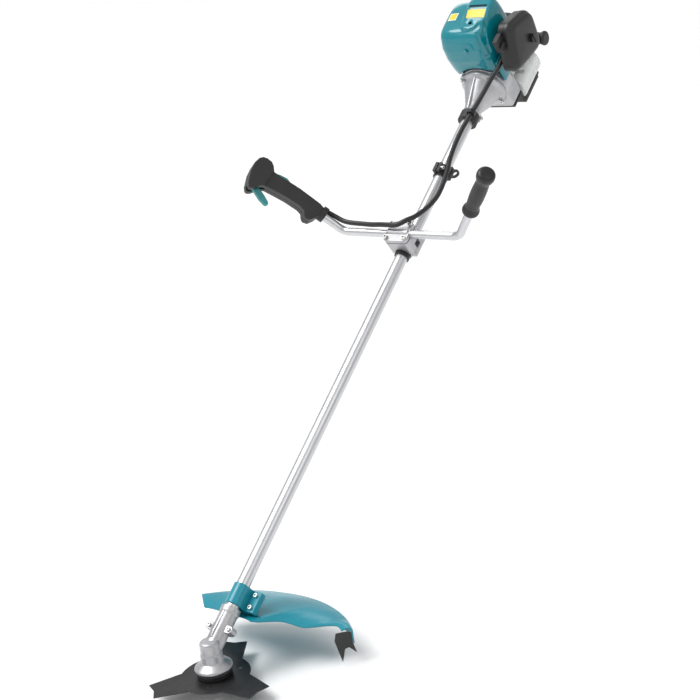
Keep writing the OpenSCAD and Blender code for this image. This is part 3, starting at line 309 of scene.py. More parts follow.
def mount(made, finish, body="machine", replaces=()):
    """Gives a finished piece its material, its body and the frame's pieces it stands for."""
    made.data.materials.clear()
    made.data.materials.append(bpy.data.materials[finish])
    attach(made, body)
    if replaces:
        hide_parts(*replaces)
    return made


# ---------------------------------------------------------------- shader parts
def wire(tree, source, target):
    tree.links.new(source, target)


def math_node(tree, operation, a, b=None, clamp=False):
    """A Math node on sockets or plain numbers."""
    node = tree.nodes.new("ShaderNodeMath")
    node.operation, node.use_clamp = operation, clamp
    for socket, value in zip(node.inputs, (a, b)):
        if value is None:
            continue
        if isinstance(value, bpy.types.NodeSocket):
            wire(tree, value, socket)
        else:
            socket.default_value = value
    return node.outputs[0]


def group(name, inputs, outputs):
    """A new shader group with named sockets, and its two end nodes."""
    tree = bpy.data.node_groups.new(name, "ShaderNodeTree")
    for label, kind, value in inputs:
        socket = tree.interface.new_socket(label, in_out="INPUT", socket_type=kind)
        if value is not None:
            socket.default_value = value
    for label, kind in outputs:
        tree.interface.new_socket(label, in_out="OUTPUT", socket_type=kind)
    return tree, tree.nodes.new("NodeGroupInput"), tree.nodes.new("NodeGroupOutput")


def noise(tree, vector, scale, detail=3.0, rough=0.5):
    node = tree.nodes.new("ShaderNodeTexNoise")
    wire(tree, vector, node.inputs["Vector"])
    if isinstance(scale, bpy.types.NodeSocket):
        wire(tree, scale, node.inputs["Scale"])
    else:
        node.inputs["Scale"].default_value = scale
    node.inputs["Detail"].default_value = detail
    node.inputs["Roughness"].default_value = rough
    return node.outputs["Fac"]


def place_coordinates(tree):
    return tree.nodes.new("ShaderNodeTexCoord").outputs["Object"]


def build_groups():
    """Edge rounding with wear, and the surface grains that the finishes share."""
    number, direction = "NodeSocketFloat", "NodeSocketVector"

    tree, a, z = group(
        "Worn Edges",
        [("Radius", number, 0.0006), ("Breakup", number, 220.0)],
        [("Normal", direction), ("Mask", number)],
    )
    bevel = tree.nodes.new("ShaderNodeBevel")
    bevel.samples = 4
    wire(tree, a.outputs["Radius"], bevel.inputs["Radius"])
    flat = tree.nodes.new("ShaderNodeNewGeometry")
    dot = tree.nodes.new("ShaderNodeVectorMath")
    dot.operation = "DOT_PRODUCT"
    wire(tree, bevel.outputs["Normal"], dot.inputs[0])
    wire(tree, flat.outputs["Normal"], dot.inputs[1])
    edge = math_node(tree, "MULTIPLY", math_node(tree, "SUBTRACT", 1.0, dot.outputs["Value"]), 9.0)
    rough = noise(tree, place_coordinates(tree), a.outputs["Breakup"], 4.0, 0.65)
    rubbed = math_node(tree, "MULTIPLY", math_node(tree, "SUBTRACT", rough, 0.42), 5.0, clamp=True)
    wire(tree, math_node(tree, "MULTIPLY", edge, rubbed, clamp=True), z.inputs["Mask"])
    wire(tree, bevel.outputs["Normal"], z.inputs["Normal"])

    tree, a, z = group(
        "Sand Grain",
        [("Scale", number, 900.0)],
        [("Height", number), ("Tone", number)],
    )
    place = place_coordinates(tree)
    cells = tree.nodes.new("ShaderNodeTexVoronoi")
    wire(tree, place, cells.inputs["Vector"])
    wire(tree, a.outputs["Scale"], cells.inputs["Scale"])
    fine = noise(tree, place, math_node(tree, "MULTIPLY", a.outputs["Scale"], 0.6), 4.0, 0.6)
    mixed = math_node(
        tree, "ADD", fine, math_node(tree, "MULTIPLY", cells.outputs["Distance"], 0.45)
    )
    wire(tree, mixed, z.inputs["Height"])
    wire(tree, noise(tree, place, 28.0, 5.0, 0.6), z.inputs["Tone"])

    tree, a, z = group(
        "Drawn Lines",
        [("Scale", number, 500.0)],
        [("Height", number), ("Tone", number)],
    )
    turn = tree.nodes.new("ShaderNodeMapping")
    turn.inputs["Rotation"].default_value = (-SHAFT_ANGLE, 0, 0)
    wire(tree, place_coordinates(tree), turn.inputs["Vector"])
    stretch = tree.nodes.new("ShaderNodeVectorMath")
    stretch.operation = "MULTIPLY"
    stretch.inputs[1].default_value = (1.0, 0.012, 1.0)
    wire(tree, turn.outputs["Vector"], stretch.inputs[0])
    lines = noise(tree, stretch.outputs["Vector"], a.outputs["Scale"], 3.0, 0.55)
    wire(tree, lines, z.inputs["Height"])
    wide = noise(
        tree, stretch.outputs["Vector"], math_node(tree, "MULTIPLY", a.outputs["Scale"], 0.22), 3.0
    )
    wire(tree, wide, z.inputs["Tone"])

    tree, a, z = group(
        "Turned Rings",
        [("Scale", number, 1500.0)],
        [("Height", number), ("Tone", number)],
    )
    place = place_coordinates(tree)
    wire(tree, noise(tree, place, a.outputs["Scale"], 2.0, 0.5), z.inputs["Height"])
    wire(tree, noise(tree, place, 60.0, 4.0, 0.6), z.inputs["Tone"])

    tree, a, z = group("Handling Marks", [("Scale", number, 9.0)], [("Mask", number)])
    smear = noise(tree, place_coordinates(tree), a.outputs["Scale"], 6.0, 0.7)
    marks = math_node(tree, "MULTIPLY", math_node(tree, "SUBTRACT", smear, 0.45), 3.0, clamp=True)
    wire(tree, marks, z.inputs["Mask"])


# What a finish has unless its row says otherwise. Colours are linear, or name a property;
# scale is the grain's, per metre; depth and edge radius are in millimetres.
PLAIN = dict(metal=0.0, grain="Sand Grain", wear=0.2, shine=0.5, coat=0.0, coat_rough=0.03, through=0.0)
FINISHES = {
    "Drawn Aluminium": dict(
        colour="aluminium", rough=0.34, metal=0.85, grain="Drawn Lines", scale=520, depth=0.004,
        spread=0.04, radius=0.3, worn=(0.86, 0.86, 0.87),
    ),
    "Cast Alloy": dict(
        colour="casting", rough=0.42, metal=0.7, scale=1300, depth=0.05, spread=0.14, radius=0.8,
        worn=(0.8, 0.8, 0.81), wear=0.35,
    ),
    "Machined Steel": dict(
        colour=(0.5, 0.5, 0.51), rough=0.25, metal=0.95, grain="Turned Rings", scale=1600,
        depth=0.01, spread=0.12, radius=0.3, worn=(0.75, 0.75, 0.76), wear=0.3,
    ),
    "Zinc Screws": dict(
        colour=(0.6, 0.6, 0.58), rough=0.3, metal=0.95, grain="Turned Rings", scale=1900,
        depth=0.01, spread=0.2, radius=0.25, worn=(0.8, 0.78, 0.7), wear=0.3,
    ),
    "Black Blade": dict(
        colour=(0.012, 0.012, 0.013), rough=0.42, metal=0.1, grain="Turned Rings", scale=700,
        depth=0.02, spread=0.3, radius=0.3, worn=(0.16, 0.16, 0.165), wear=0.5,
    ),
    "Dark Steel": dict(
        colour=(0.05, 0.05, 0.052), rough=0.38, metal=0.7, grain="Turned Rings", scale=1200,
        depth=0.015, spread=0.25, radius=0.4, worn=(0.3, 0.3, 0.31), wear=0.5,
    ),
    "Cover Teal": dict(
        colour="cover", rough=0.2, scale=260, depth=0.006, spread=0.05, radius=0.8,
        worn=(0.02, 0.27, 0.33), shine=0.35, coat=0.6, coat_rough=0.06,
    ),
    "Guard Teal": dict(
        colour="guard", rough=0.32, scale=600, depth=0.008, spread=0.03, radius=0.7,
        worn=(0.06, 0.36, 0.45), shine=0.35, coat=0.2, coat_rough=0.2,
    ),
    "Control Teal": dict(
        colour="control", rough=0.32, scale=1500, depth=0.02, spread=0.1, radius=0.6,
        worn=(0.06, 0.3, 0.3), wear=0.25,
    ),
    "Black Plastic": dict(
        colour="plastic", rough=0.46, scale=1700, depth=0.05, spread=0.2, radius=0.8,
        worn=(0.045, 0.045, 0.048), wear=0.4,
    ),
    "Grip Plastic": dict(
        colour="plastic", rough=0.5, scale=1300, depth=0.08, spread=0.2, radius=1.0,
        worn=(0.045, 0.045, 0.048), wear=0.35,
    ),
    "Black Rubber": dict(
        colour=(0.007, 0.007, 0.0073), rough=0.46, scale=800, depth=0.06, spread=0.25, radius=1.0,
        worn=(0.07, 0.07, 0.07), wear=0.3,
    ),
    "Tank Plastic": dict(
        colour=(0.88, 0.9, 0.89), rough=0.3, scale=500, depth=0.02, spread=0.05, radius=1.2,
        worn=(0.9, 0.9, 0.9), wear=0.15, through=0.25,
    ),
    "White Rope": dict(
        colour=(0.72, 0.71, 0.67), rough=0.8, grain="Turned Rings", scale=900, depth=0.2,
        spread=0.2, radius=0.3, worn=(0.6, 0.58, 0.5), wear=0.4,
    ),
    "Plug Ceramic": dict(
        colour=(0.03, 0.03, 0.03), rough=0.35, grain="Turned Rings", scale=400, depth=0.02,
        spread=0.1, radius=0.5, worn=(0.1, 0.1, 0.1),
    ),
    "Label Yellow": dict(
        colour="label", rough=0.34, scale=900, depth=0.008, spread=0.05, radius=0.1,
        worn=(0.75, 0.5, 0.05),
    ),
    "Label White": dict(
        colour=(0.78, 0.8, 0.74), rough=0.34, scale=900, depth=0.008, spread=0.05, radius=0.1,
        worn=(0.7, 0.7, 0.68),
    ),
    # Near-black fill for the bonnet's vent mouth: painted shade for the shadow inside the recess, not a part's
    # own colour.
    "Vent Black": dict(
        colour=(0.008, 0.012, 0.02), rough=0.4, scale=900, depth=0.02, spread=0.2, radius=0.3,
        worn=(0.05, 0.05, 0.05), wear=0.1,
    ),
    "Backdrop": dict(
        colour=(0.9, 0.9, 0.9), rough=0.7, scale=40, depth=0.02, spread=0.01, radius=0.0,
        worn=(0.9, 0.9, 0.9), wear=0.0,
    ),
}


def make_finish(name, colours):
    """One material from its row of FINISHES: grain, colour spread, marks and worn edges."""
    row = {**PLAIN, **FINISHES[name]}
    colour = row["colour"]
    colour = tuple(getattr(colours, colour)) if isinstance(colour, str) else colour
    material = bpy.data.materials.new(name)
    material.use_nodes = True
    tree = material.node_tree
    shader = tree.nodes["Principled BSDF"]

    def placed(label, **values):
        node = tree.nodes.new("ShaderNodeGroup")
        node.node_tree = bpy.data.node_groups[label]
        for key, value in values.items():
            node.inputs[key].default_value = value
        return node

    grain = placed(row["grain"], Scale=row["scale"])
    marks = placed("Handling Marks", Scale=14.0)
    spread = row["spread"]
    tone = tree.nodes.new("ShaderNodeMapRange")
    tone.inputs["From Min"].default_value, tone.inputs["From Max"].default_value = 0.3, 0.7
    wire(tree, grain.outputs["Tone"], tone.inputs["Value"])
    base = tree.nodes.new("ShaderNodeMix")
    base.data_type = "RGBA"
    dark = tuple(c * (1 - spread) for c in colour)
    light = tuple(min(1.0, c * (1 + spread) + 0.01 * spread) for c in colour)
    base.inputs["A"].default_value = (*dark, 1)
    base.inputs["B"].default_value = (*light, 1)
    wire(tree, tone.outputs["Result"], base.inputs["Factor"])
    ruff = tree.nodes.new("ShaderNodeMapRange")
    ruff.inputs["To Min"].default_value = row["rough"] * 0.85
    ruff.inputs["To Max"].default_value = min(1.0, row["rough"] * 1.3)
    wire(tree, marks.outputs["Mask"], ruff.inputs["Value"])
    wire(tree, ruff.outputs["Result"], shader.inputs["Roughness"])
    bump = tree.nodes.new("ShaderNodeBump")
    bump.inputs["Strength"].default_value = 0.6
    bump.inputs["Distance"].default_value = row["depth"] * 0.001
    wire(tree, grain.outputs["Height"], bump.inputs["Height"])
    if row["radius"] > 0:
        edges = placed("Worn Edges", Radius=row["radius"] * 0.001, Breakup=260.0)
        over = tree.nodes.new("ShaderNodeMix")
        over.data_type = "RGBA"
        over.inputs["B"].default_value = (*row["worn"], 1)
        wire(tree, base.outputs["Result"], over.inputs["A"])
        faded = math_node(tree, "MULTIPLY", edges.outputs["Mask"], row["wear"], clamp=True)
        wire(tree, faded, over.inputs["Factor"])
        wire(tree, over.outputs["Result"], shader.inputs["Base Color"])
        wire(tree, edges.outputs["Normal"], bump.inputs["Normal"])
    else:
        wire(tree, base.outputs["Result"], shader.inputs["Base Color"])
    wire(tree, bump.outputs["Normal"], shader.inputs["Normal"])
    shader.inputs["Metallic"].default_value = row["metal"]
    shader.inputs["Specular IOR Level"].default_value = row["shine"]
    shader.inputs["Coat Weight"].default_value = row["coat"]
    shader.inputs["Coat Roughness"].default_value = row["coat_rough"]
    if row["through"]:
        shader.inputs["Transmission Weight"].default_value = row["through"]
        shader.inputs["IOR"].default_value = 1.4
    return material


# The finish of every node of the frame that keeps its own mesh
NODE_FINISH = {
    "Drawn Aluminium": ["main_pipe", "handlebar"],
    "Cast Alloy": [
        "gear_case", "clamp_base", "clamp_cap", "clutch_case", "crankcase", "cylinder_block",
        "carburettor", "flywheel",
    ],
    "Machined Steel": [
        "drive_shaft", "drive_pinion", "driven_gear", "output_spindle", "drive_bearings",
        "spindle_bearings", "clamp_washer", "stabiliser_cup", "clutch_drum", "clutch_shoes",
        "crankshaft", "guard_bracket",
    ],
    "Zinc Screws": [
        "gear_case_screws", "guard_screws", "clamp_bolts", "hanger_bolt", "grip_screws",
        "clutch_screws", "blade_nut",
    ],
    "Black Blade": ["blade", "line_knife"],
    "Dark Steel": ["receiver_washer", "muffler"],
    "Cover Teal": ["engine_cover", "cover_screws"],
    "Guard Teal": ["guard"],
    "Control Teal": ["throttle_trigger", "lock_off_lever", "stop_switch"],
    "Black Plastic": [
        "hanger_band", "air_cleaner_case", "air_cleaner_cover", "air_cleaner_knob",
        "choke_lever", "fuel_cap", "tank_stand", "recoil_housing", "starter_reel",
        "starter_handle", "shaft_bushes",
    ],
    "Grip Plastic": ["grip_shell_front", "grip_shell_rear", "grip_collar"],
    "Black Rubber": ["clamp_sleeve", "plain_grip", "throttle_cable", "cable_clip"],
    "Tank Plastic": ["fuel_tank"],
    "White Rope": ["starter_rope"],
    "Plug Ceramic": ["spark_plug"],
}


# ------------------------------------------------------------------ properties
def colour_property(name, value, about):
    return FloatVectorProperty(
        name=name, description=about, default=value, subtype="COLOR", min=0.0, max=1.0
    )


class BrushCutterColours(PropertyGroup):
    cover: colour_property("Cover", (0.0, 0.205, 0.25), "Gloss of the engine cover")
    guard: colour_property("Guard", (0.01, 0.235, 0.31), "Plastic of the blade guard")
    control: colour_property("Controls", (0.02, 0.235, 0.235), "Trigger, lock and stop switch")
    plastic: colour_property("Plastic", (0.011, 0.011, 0.012), "Dark grip and housings")
    aluminium: colour_property("Aluminium", (0.6, 0.605, 0.62), "Pipe and handlebar")
    casting: colour_property("Casting", (0.44, 0.44, 0.455), "Gear case, clamp and clutch case")
    label: colour_property("Label", (0.87, 0.58, 0.02), "Plain fields on the cover")


class BrushCutterSizes(PropertyGroup):
    casting_skin: FloatProperty(
        name="Casting Skin", description="Mesh size of the castings, in millimetres",
        default=0.9, min=0.5, max=3.0,
    )
    casting_ease: IntProperty(
        name="Casting Ease", description="Rounds that ease a casting's corners",
        default=4, min=0, max=20,
    )
    cover_wall: FloatProperty(
        name="Cover Wall", description="Wall of the engine cover",
        default=0.0022, min=0.001, max=0.004, unit="LENGTH",
    )
    sleeve_d: FloatProperty(
        name="Cable Sleeve", description="Diameter of the throttle cable's sleeve",
        default=0.011, min=0.004, max=0.014, unit="LENGTH",
    )
    key_light: FloatProperty(
        name="Key Light", description="Power of the large soft light",
        default=26.0, min=0.0, max=1000.0, unit="POWER",
    )


# ------------------------------------------------------------------- operators
class BRUSHCUTTER_OT_finishes(Operator):
    """Build the finishes and give every piece of the frame its own"""

    bl_idname = "brushcutter.finishes"
    bl_label = "Finishes"

    def execute(self, context):
        build_groups()
        for name in FINISHES:
            make_finish(name, context.scene.brush_cutter_colours)
        for name, nodes in NODE_FINISH.items():
            for node in nodes:
                piece = frame["nodes"][node]
                piece.data.materials.clear()
                piece.data.materials.append(bpy.data.materials[name])
        return {"FINISHED"}


class BRUSHCUTTER_OT_castings(Operator):
    """Cast and moulded pieces with eased corners"""

    bl_idname = "brushcutter.castings"
    bl_label = "Castings"

    def execute(self, context):
        sizes = context.scene.brush_cutter_sizes
        rows = [
            ("gear_case", "gear_case_casting", "Cast Alloy", "cast_alloy", 0.9, 4),
            ("clutch_case", "clutch_case_casting", "Cast Alloy", "cast_alloy", 1.0, 4),
            ("clamp_base", "clamp_base_casting", "Cast Alloy", "cast_alloy", 0.8, 4),
            ("clamp_cap", "clamp_cap_casting", "Cast Alloy", "cast_alloy", 0.8, 4),
            ("grip_shell_front", "grip_front_moulding", "Grip Plastic", "grip_plastic", 0.9, 6),
            ("grip_shell_rear", "grip_rear_moulding", "Grip Plastic", "grip_plastic", 0.9, 6),
            ("grip_collar", "grip_collar_moulding", "Black Rubber", "black_rubber", 0.7, 4),
            ("hanger_band", "hanger_band_moulding", "Black Plastic", "black_plastic", 0.7, 3),
            ("cable_clip", "cable_clip_moulding", "Black Rubber", "black_rubber", 0.7, 4),
            ("throttle_trigger", "trigger_moulding", "Control Teal", "control_teal", 0.5, 5),
            ("lock_off_lever", "lock_off_moulding", "Control Teal", "control_teal", 0.45, 4),
            ("fuel_tank", "fuel_tank_moulding", "Tank Plastic", "tank_plastic", 1.4, 6),
            ("fuel_cap", "fuel_cap_moulding", "Black Plastic", "black_plastic", 0.6, 2),
            ("tank_stand", "tank_stand_moulding", "Black Plastic", "black_plastic", 1.2, 3),
            ("crankcase", "crankcase_casting", "Cast Alloy", "cast_alloy", 1.4, 3),
            ("muffler", "muffler_pressing", "Dark Steel", "dark_steel", 1.0, 3),
            ("carburettor", "carburettor_casting", "Cast Alloy", "cast_alloy", 0.8, 3),
            ("air_cleaner_case", "cleaner_case_moulding", "Black Plastic", "black_plastic", 1.0, 3),
            ("starter_handle", "starter_handle_moulding", "Black Plastic", "black_plastic", 0.6, 3),
        ]
        scale = sizes.casting_skin / 0.9
        for node, name, finish, slot, voxel, rounds in rows:
            piece = cast_copy(node, name, voxel * scale, rounds + sizes.casting_ease - 4)
            mount(piece, finish, BODY_OF[node], [node])
        return {"FINISHED"}


class BRUSHCUTTER_OT_tubes(Operator):
    """The main pipe, round and open at its ends"""

    bl_idname = "brushcutter.tubes"
    bl_label = "Tubes"

    def execute(self, context):
        low, high = 25, 1365
        wall, edge = 1.5, 0.4
        profile = [
            (low, PIPE_R - wall), (low, PIPE_R - edge), (low + edge, PIPE_R),
            (high - edge, PIPE_R), (high, PIPE_R - edge), (high, PIPE_R - wall),
        ]
        t = np.linspace(0, 2 * math.pi, 96, endpoint=False)
        rings = [
            np.column_stack((r * np.cos(t), r * np.sin(t), np.full(96, z))) for z, r in profile
        ]
        points, faces = stacked(rings, caps=False)
        count, rows = 96, len(rings)
        for j in range(count):
            k = (j + 1) % count
            faces.append(((rows - 1) * count + j, (rows - 1) * count + k, k, j))
        pipe = clean(mesh_object("main_pipe_tube", points, faces, SHAFT @ along_y()))
        mount(smooth(pipe), "Drawn Aluminium", "machine", ["main_pipe"])
        return {"FINISHED"}


class BRUSHCUTTER_OT_handlebar(Operator):
    """The handlebar's tube, bent up on both sides of its straight middle"""

    bl_idname = "brushcutter.handlebar"
    bl_label = "Handlebar"

    def execute(self, context):
        bend_r, bar_r = 34.0, 9.5
        path = []
        for side in (-1, 1):
            arm = Vector(
                (
                    side * math.cos(ARM_ANGLE) * math.cos(ARM_LEAN),
                    math.sin(ARM_LEAN),
                    math.sin(ARM_ANGLE) * math.cos(ARM_LEAN),
                )
            )
            turn = math.acos(abs(arm.x))
            cut = bend_r * math.tan(turn / 2)
            corner = Vector((side * BAR_HALF, BAR_AT, BAR_RISE))
            rise = Vector((0, arm.y, arm.z)).normalized()
            centre = corner - Vector((side * cut, 0, 0)) + rise * bend_r
            half = [corner + arm * ARM_LEN, corner + arm * (ARM_LEN - 0.6)]
            half += [corner + arm * (cut + 30)]
            for i in range(25):
                a = turn * (1 - i / 24)
                half.append(
                    centre + Vector((side * bend_r * math.sin(a), 0, 0)) - rise * bend_r * math.cos(a)
                )
            if side > 0:
                half.reverse()
            path += half
        radii = [bar_r] * len(path)
        radii[0] = radii[-1] = bar_r - 0.6
        bar = swept("handlebar_tube", path, radii, SHAFT, 64)
        mount(smooth(bar), "Drawn Aluminium", "machine", ["handlebar"])
        return {"FINISHED"}


def guard_section(angle):
    """One closed section of the guard's shell, in millimetres about the spindle."""
    centre, rim_r, skirt, wall = (18.0, -5.0), 264.0, 34.0, 3.0
    table = {
        "front": [(46, 243), (51, 238), (55, 176), (66, 142), (71, 92), (74, 86), (112, 92),
                  (116, 118), (127, 166), (138, 208)],
        "rim": [(46, -2), (100, -2), (138, 6)],
        "edge": [(46, -3), (55, 4), (66, 18), (72, 34), (113, 34), (120, 18), (128, 4), (138, 0)],
    }

    def value(key, a):
        rows = table[key]
        reach = np.linspace(-2.2, 2.2, 9)
        weight = np.exp(-(reach**2) / 2)
        found = np.interp(a + reach, [r[0] for r in rows], [r[1] for r in rows])
        return float((found * weight).sum() / weight.sum())

    rf, zf, z1 = value("front", angle), value("edge", angle), value("rim", angle)
    span = rim_r - rf
    reach = np.linspace(0, 1, 12)
    sag = np.interp(reach, [0, 0.3, 0.65, 0.9, 1.0], [0, 0.22, 0.6, 0.93, 1.0])
    crown = np.interp(reach, [0, 0.3, 0.65, 0.9, 1.0], [0, 2.0, 2.5, 0.5, -5.0])
    top = eased(zf + (z1 - zf) * sag + crown)
    r = rf + span * reach
    outer = [(r[i], top[i]) for i in range(12)]
    outer += [(rim_r, z) for z in np.linspace(z1 - 9, z1 - skirt + 1, 6)]
    lip = [(rim_r - 0.8, z1 - skirt), (rim_r - wall + 0.8, z1 - skirt)]
    inner = [(rim_r - wall, z) for z in np.linspace(z1 - skirt + 1, z1 - 9 - wall, 6)]
    inner += [(r[i] - (wall if i > 8 else 0.0), top[i] - wall) for i in range(10, -1, -1)]
    nose = [(rf - 0.7, zf - 1), (rf - 0.7, zf - wall + 1)]
    a = math.radians(angle)
    ring = outer + lip + inner + nose[::-1]
    return [(centre[0] + q * math.cos(a), centre[1] + q * math.sin(a), z) for q, z in ring]


class BRUSHCUTTER_OT_guard(Operator):
    """The guard: a crowned shell with a rolled rim, its saddle and the web between"""

    bl_idname = "brushcutter.guard"
    bl_label = "Guard"

    def execute(self, context):
        angles = np.linspace(46, 138, 140)
        points, faces = stacked([guard_section(a) for a in angles])
        shell = clean(mesh_object("guard_moulding", points, faces, HEAD))
        saddle_r, half = PIPE_R + 3, 22
        low, high = GUARD_AT - half, GUARD_AT + half
        parts = [
            turned(
                "saddle",
                [(low, saddle_r - 1.5), (low + 1.5, saddle_r), (high - 1.5, saddle_r),
                 (high, saddle_r - 1.5)],
                SHAFT @ along_y(),
            ),
            block("saddle_plate", (-saddle_r, low, -30), (saddle_r + 22, high, -16), SHAFT),
            block(
                "saddle_cheeks", (-saddle_r + 0.02, low + 0.02, -17),
                (saddle_r - 0.02, high - 0.02, 0), SHAFT,
            ),
        ]
        web = [(low - 8, -24), (low, -28.02), (low + 42, -28.02), (low + 24, -68), (low + 6, -50)]
        ring = lambda x: [(x, s, n) for s, n in web]
        points, faces = stacked([ring(-12), ring(12)])
        parts.append(clean(mesh_object("web", points, faces, SHAFT)))
        for angle in (60, 78, 96, 114):
            a = math.radians(angle)
            section = np.array(guard_section(angle)) - (18.0, -5.0, 0.0)
            r = np.hypot(section[:, 0], section[:, 1])
            top = [(r[i], section[i, 2] - 1.2) for i in range(1, 11)]
            foot = [(q, z - 9 * math.sin(math.pi * (i + 0.4) / 10)) for i, (q, z) in enumerate(top)]
            side = Vector((-math.sin(a), math.cos(a), 0)) * 1.2
            out = Vector((math.cos(a), math.sin(a), 0))
            rings = [
                [Vector((18, -5, z)) + out * q + side * k for q, z in top + foot[::-1]]
                for k in (-1, 1)
            ]
            points, faces = stacked(rings)
            parts.append(clean(mesh_object("rib", points, faces, HEAD)))
        for part in parts:
            fuse(shell, part)
        carve(shell, turned("bore", [(low - 9, PIPE_R), (high + 9, PIPE_R)], SHAFT @ along_y()))
        screw_x = PIPE_R + 15
        carve(
            shell,
            block("pocket", (screw_x - 10, low - 1, -34.2), (screw_x + 30, high + 1, -30), SHAFT),
        )
        for s in (-13, 13):
            carve(
                shell,
                turned(
                    "hole", [(-60, 2.5), (20, 2.5)],
                    SHAFT @ Matrix.Translation((screw_x, GUARD_AT + s, 0)), 32,
                ),
            )
        smooth(shell, 35)
        mount(shell, "Guard Teal", "machine", ["guard"])
        return {"FINISHED"}


# --------------------------------------------------------------- engine cover
COVER_ROWS = np.array(
    [[0, 0.95, 0.96, 0], [0.12, 0.98, 0.98, 0], [0.4, 1, 1, 0], [0.66, 0.995, 0.97, 2],
     [0.82, 0.97, 0.92, 5], [0.92, 0.935, 0.86, 7], [1, 0.91, 0.8, 9], [1.4, 0.8, 0.7, 9]]
)
COVER_MID, COVER_HALF, COVER_POWER = (-8.0, 160.0), 65.0, 4.6
COVER_LOW, COVER_HIGH = 40.0, 148.0
BONNET_MID, BONNET_HALF, BONNET_TOP = (23.0, 182.0), (34.0, 40.0), 168.0
SCREW_AT = (15.0, 143.0)
FLUTES = (((34, 124), (49, 94), 5.0, 2.2), ((47, 150), (50, 92), 5.5, 2.6))
ARCH_R, STARTER_R = 60.0, 55.5


def soft_max(a, b, k):
    return np.logaddexp(a / k, b / k) * k


def cover_field(p):
    """Roughly the distance outside the cover's skin, in millimetres, at engine points."""
    x, e, n = p[..., 0], p[..., 1], p[..., 2]
    t = (n - COVER_LOW) / (COVER_HIGH - COVER_LOW)
    a = COVER_HALF * np.interp(t, COVER_ROWS[:, 0], COVER_ROWS[:, 1])
    b = COVER_HALF * np.interp(t, COVER_ROWS[:, 0], COVER_ROWS[:, 2])
    shift = np.interp(t, COVER_ROWS[:, 0], COVER_ROWS[:, 3])
    dx, de = x - COVER_MID[0], e - COVER_MID[1] - shift
    corner = np.abs(dx / a) ** COVER_POWER + np.abs(de / b) ** COVER_POWER
    walls = (corner ** (1 / COVER_POWER) - 1) * 62
    # the top falls away to the front and a little to the sides
    fall = 15.0 * np.clip((138 - e) / 42, 0, 1.6) ** 2.2
    crown = COVER_HIGH + 1.5 - fall - 3.5 * np.abs(dx / 65) ** 3
    main = soft_max(walls, n - crown, 5.0)
    # bonnet: a raised back with a sloping front
    bx, be = x - BONNET_MID[0], e - BONNET_MID[1]
    sides = (np.abs(bx / BONNET_HALF[0]) ** 4 + np.abs(be / BONNET_HALF[1]) ** 4) ** 0.25 - 1
    sides = sides * BONNET_HALF[0]
    lid = BONNET_TOP - 1.0 - 0.34 * np.clip(178 - e, 0, 60) - 2.0 * np.abs(bx / 34) ** 3
    bonnet = soft_max(sides + np.clip(n - 140, 0, 40) * 0.1, n - lid, 2.6)
    field = -soft_max(-main, -bonnet, 4.0)
    # round boss ahead of the bonnet, open at its screw
    boss = np.hypot((x - 12) / 1.05, (e - 146)) - 21
    raised = soft_max(boss, n - (crown + 6.0), 1.4)
    field = -soft_max(-field, -raised, 1.2)
    dent = np.exp(-((x - SCREW_AT[0]) ** 2 + (e - SCREW_AT[1]) ** 2) / 16.0)
    field = field + 3.0 * dent * (n > 120)
    # leaf-shaped flutes on the right shoulder
    for (x0, e0), (x1, e1), half, deep in FLUTES:
        ux, ue = x1 - x0, e1 - e0
        length = math.hypot(ux, ue)
        u = ((x - x0) * ux + (e - e0) * ue) / length**2
        side = ((x - x0) * ue - (e - e0) * ux) / length
        wide = half * np.clip(4 * u * (1 - u), 0, 1) ** 0.7 + 0.01
        within = (u > 0) * (u < 1) * (n > 90)
        field = field + deep * np.clip(1 - (side / wide) ** 2, 0, 1) * within
    # pressed-in panel on the left wall and a lip above the front arch
    panel = np.clip((-55 - x) / 6, 0, 1)
    for value, start, stop, blur in ((n, 62, 132, 5), (e, 112, 206, 6)):
        panel = panel * np.clip((value - start) / blur, 0, 1) * np.clip((stop - value) / blur, 0, 1)
    field = field + 1.6 * panel
    ring = np.hypot(x, n)
    lip = np.exp(-(((ring - 63.5) / 2.6) ** 2)) * (e < 118)
    return field - 1.1 * lip


def cover_skin(rows, columns):
    """Points of the cover's skin, found along rays from a point inside it."""
    centre = np.array((2.0, 166.0, 84.0))
    polar = np.linspace(0, math.pi, rows + 2)[1:-1]
    turn = np.linspace(0, 2 * math.pi, columns, endpoint=False)
    theta, phi = np.meshgrid(polar, turn, indexing="ij")
    ray = np.stack(
        (np.sin(theta) * np.cos(phi), np.sin(theta) * np.sin(phi), np.cos(theta)), axis=-1
    )
    low, high = np.full(theta.shape, 12.0), np.full(theta.shape, 170.0)
    for _ in range(26):
        middle = (low + high) / 2
        outside = cover_field(centre + ray * middle[..., None]) > 0
        high, low = np.where(outside, middle, high), np.where(outside, low, middle)
    skin = centre + ray * ((low + high) / 2)[..., None]
    ends = []
    for up in (1.0, -1.0):
        reach = np.linspace(12, 170, 1600)
        line = centre + np.outer(reach, (0, 0, up))
        ends.append(line[np.argmax(cover_field(line) > 0)])
    return skin, ends


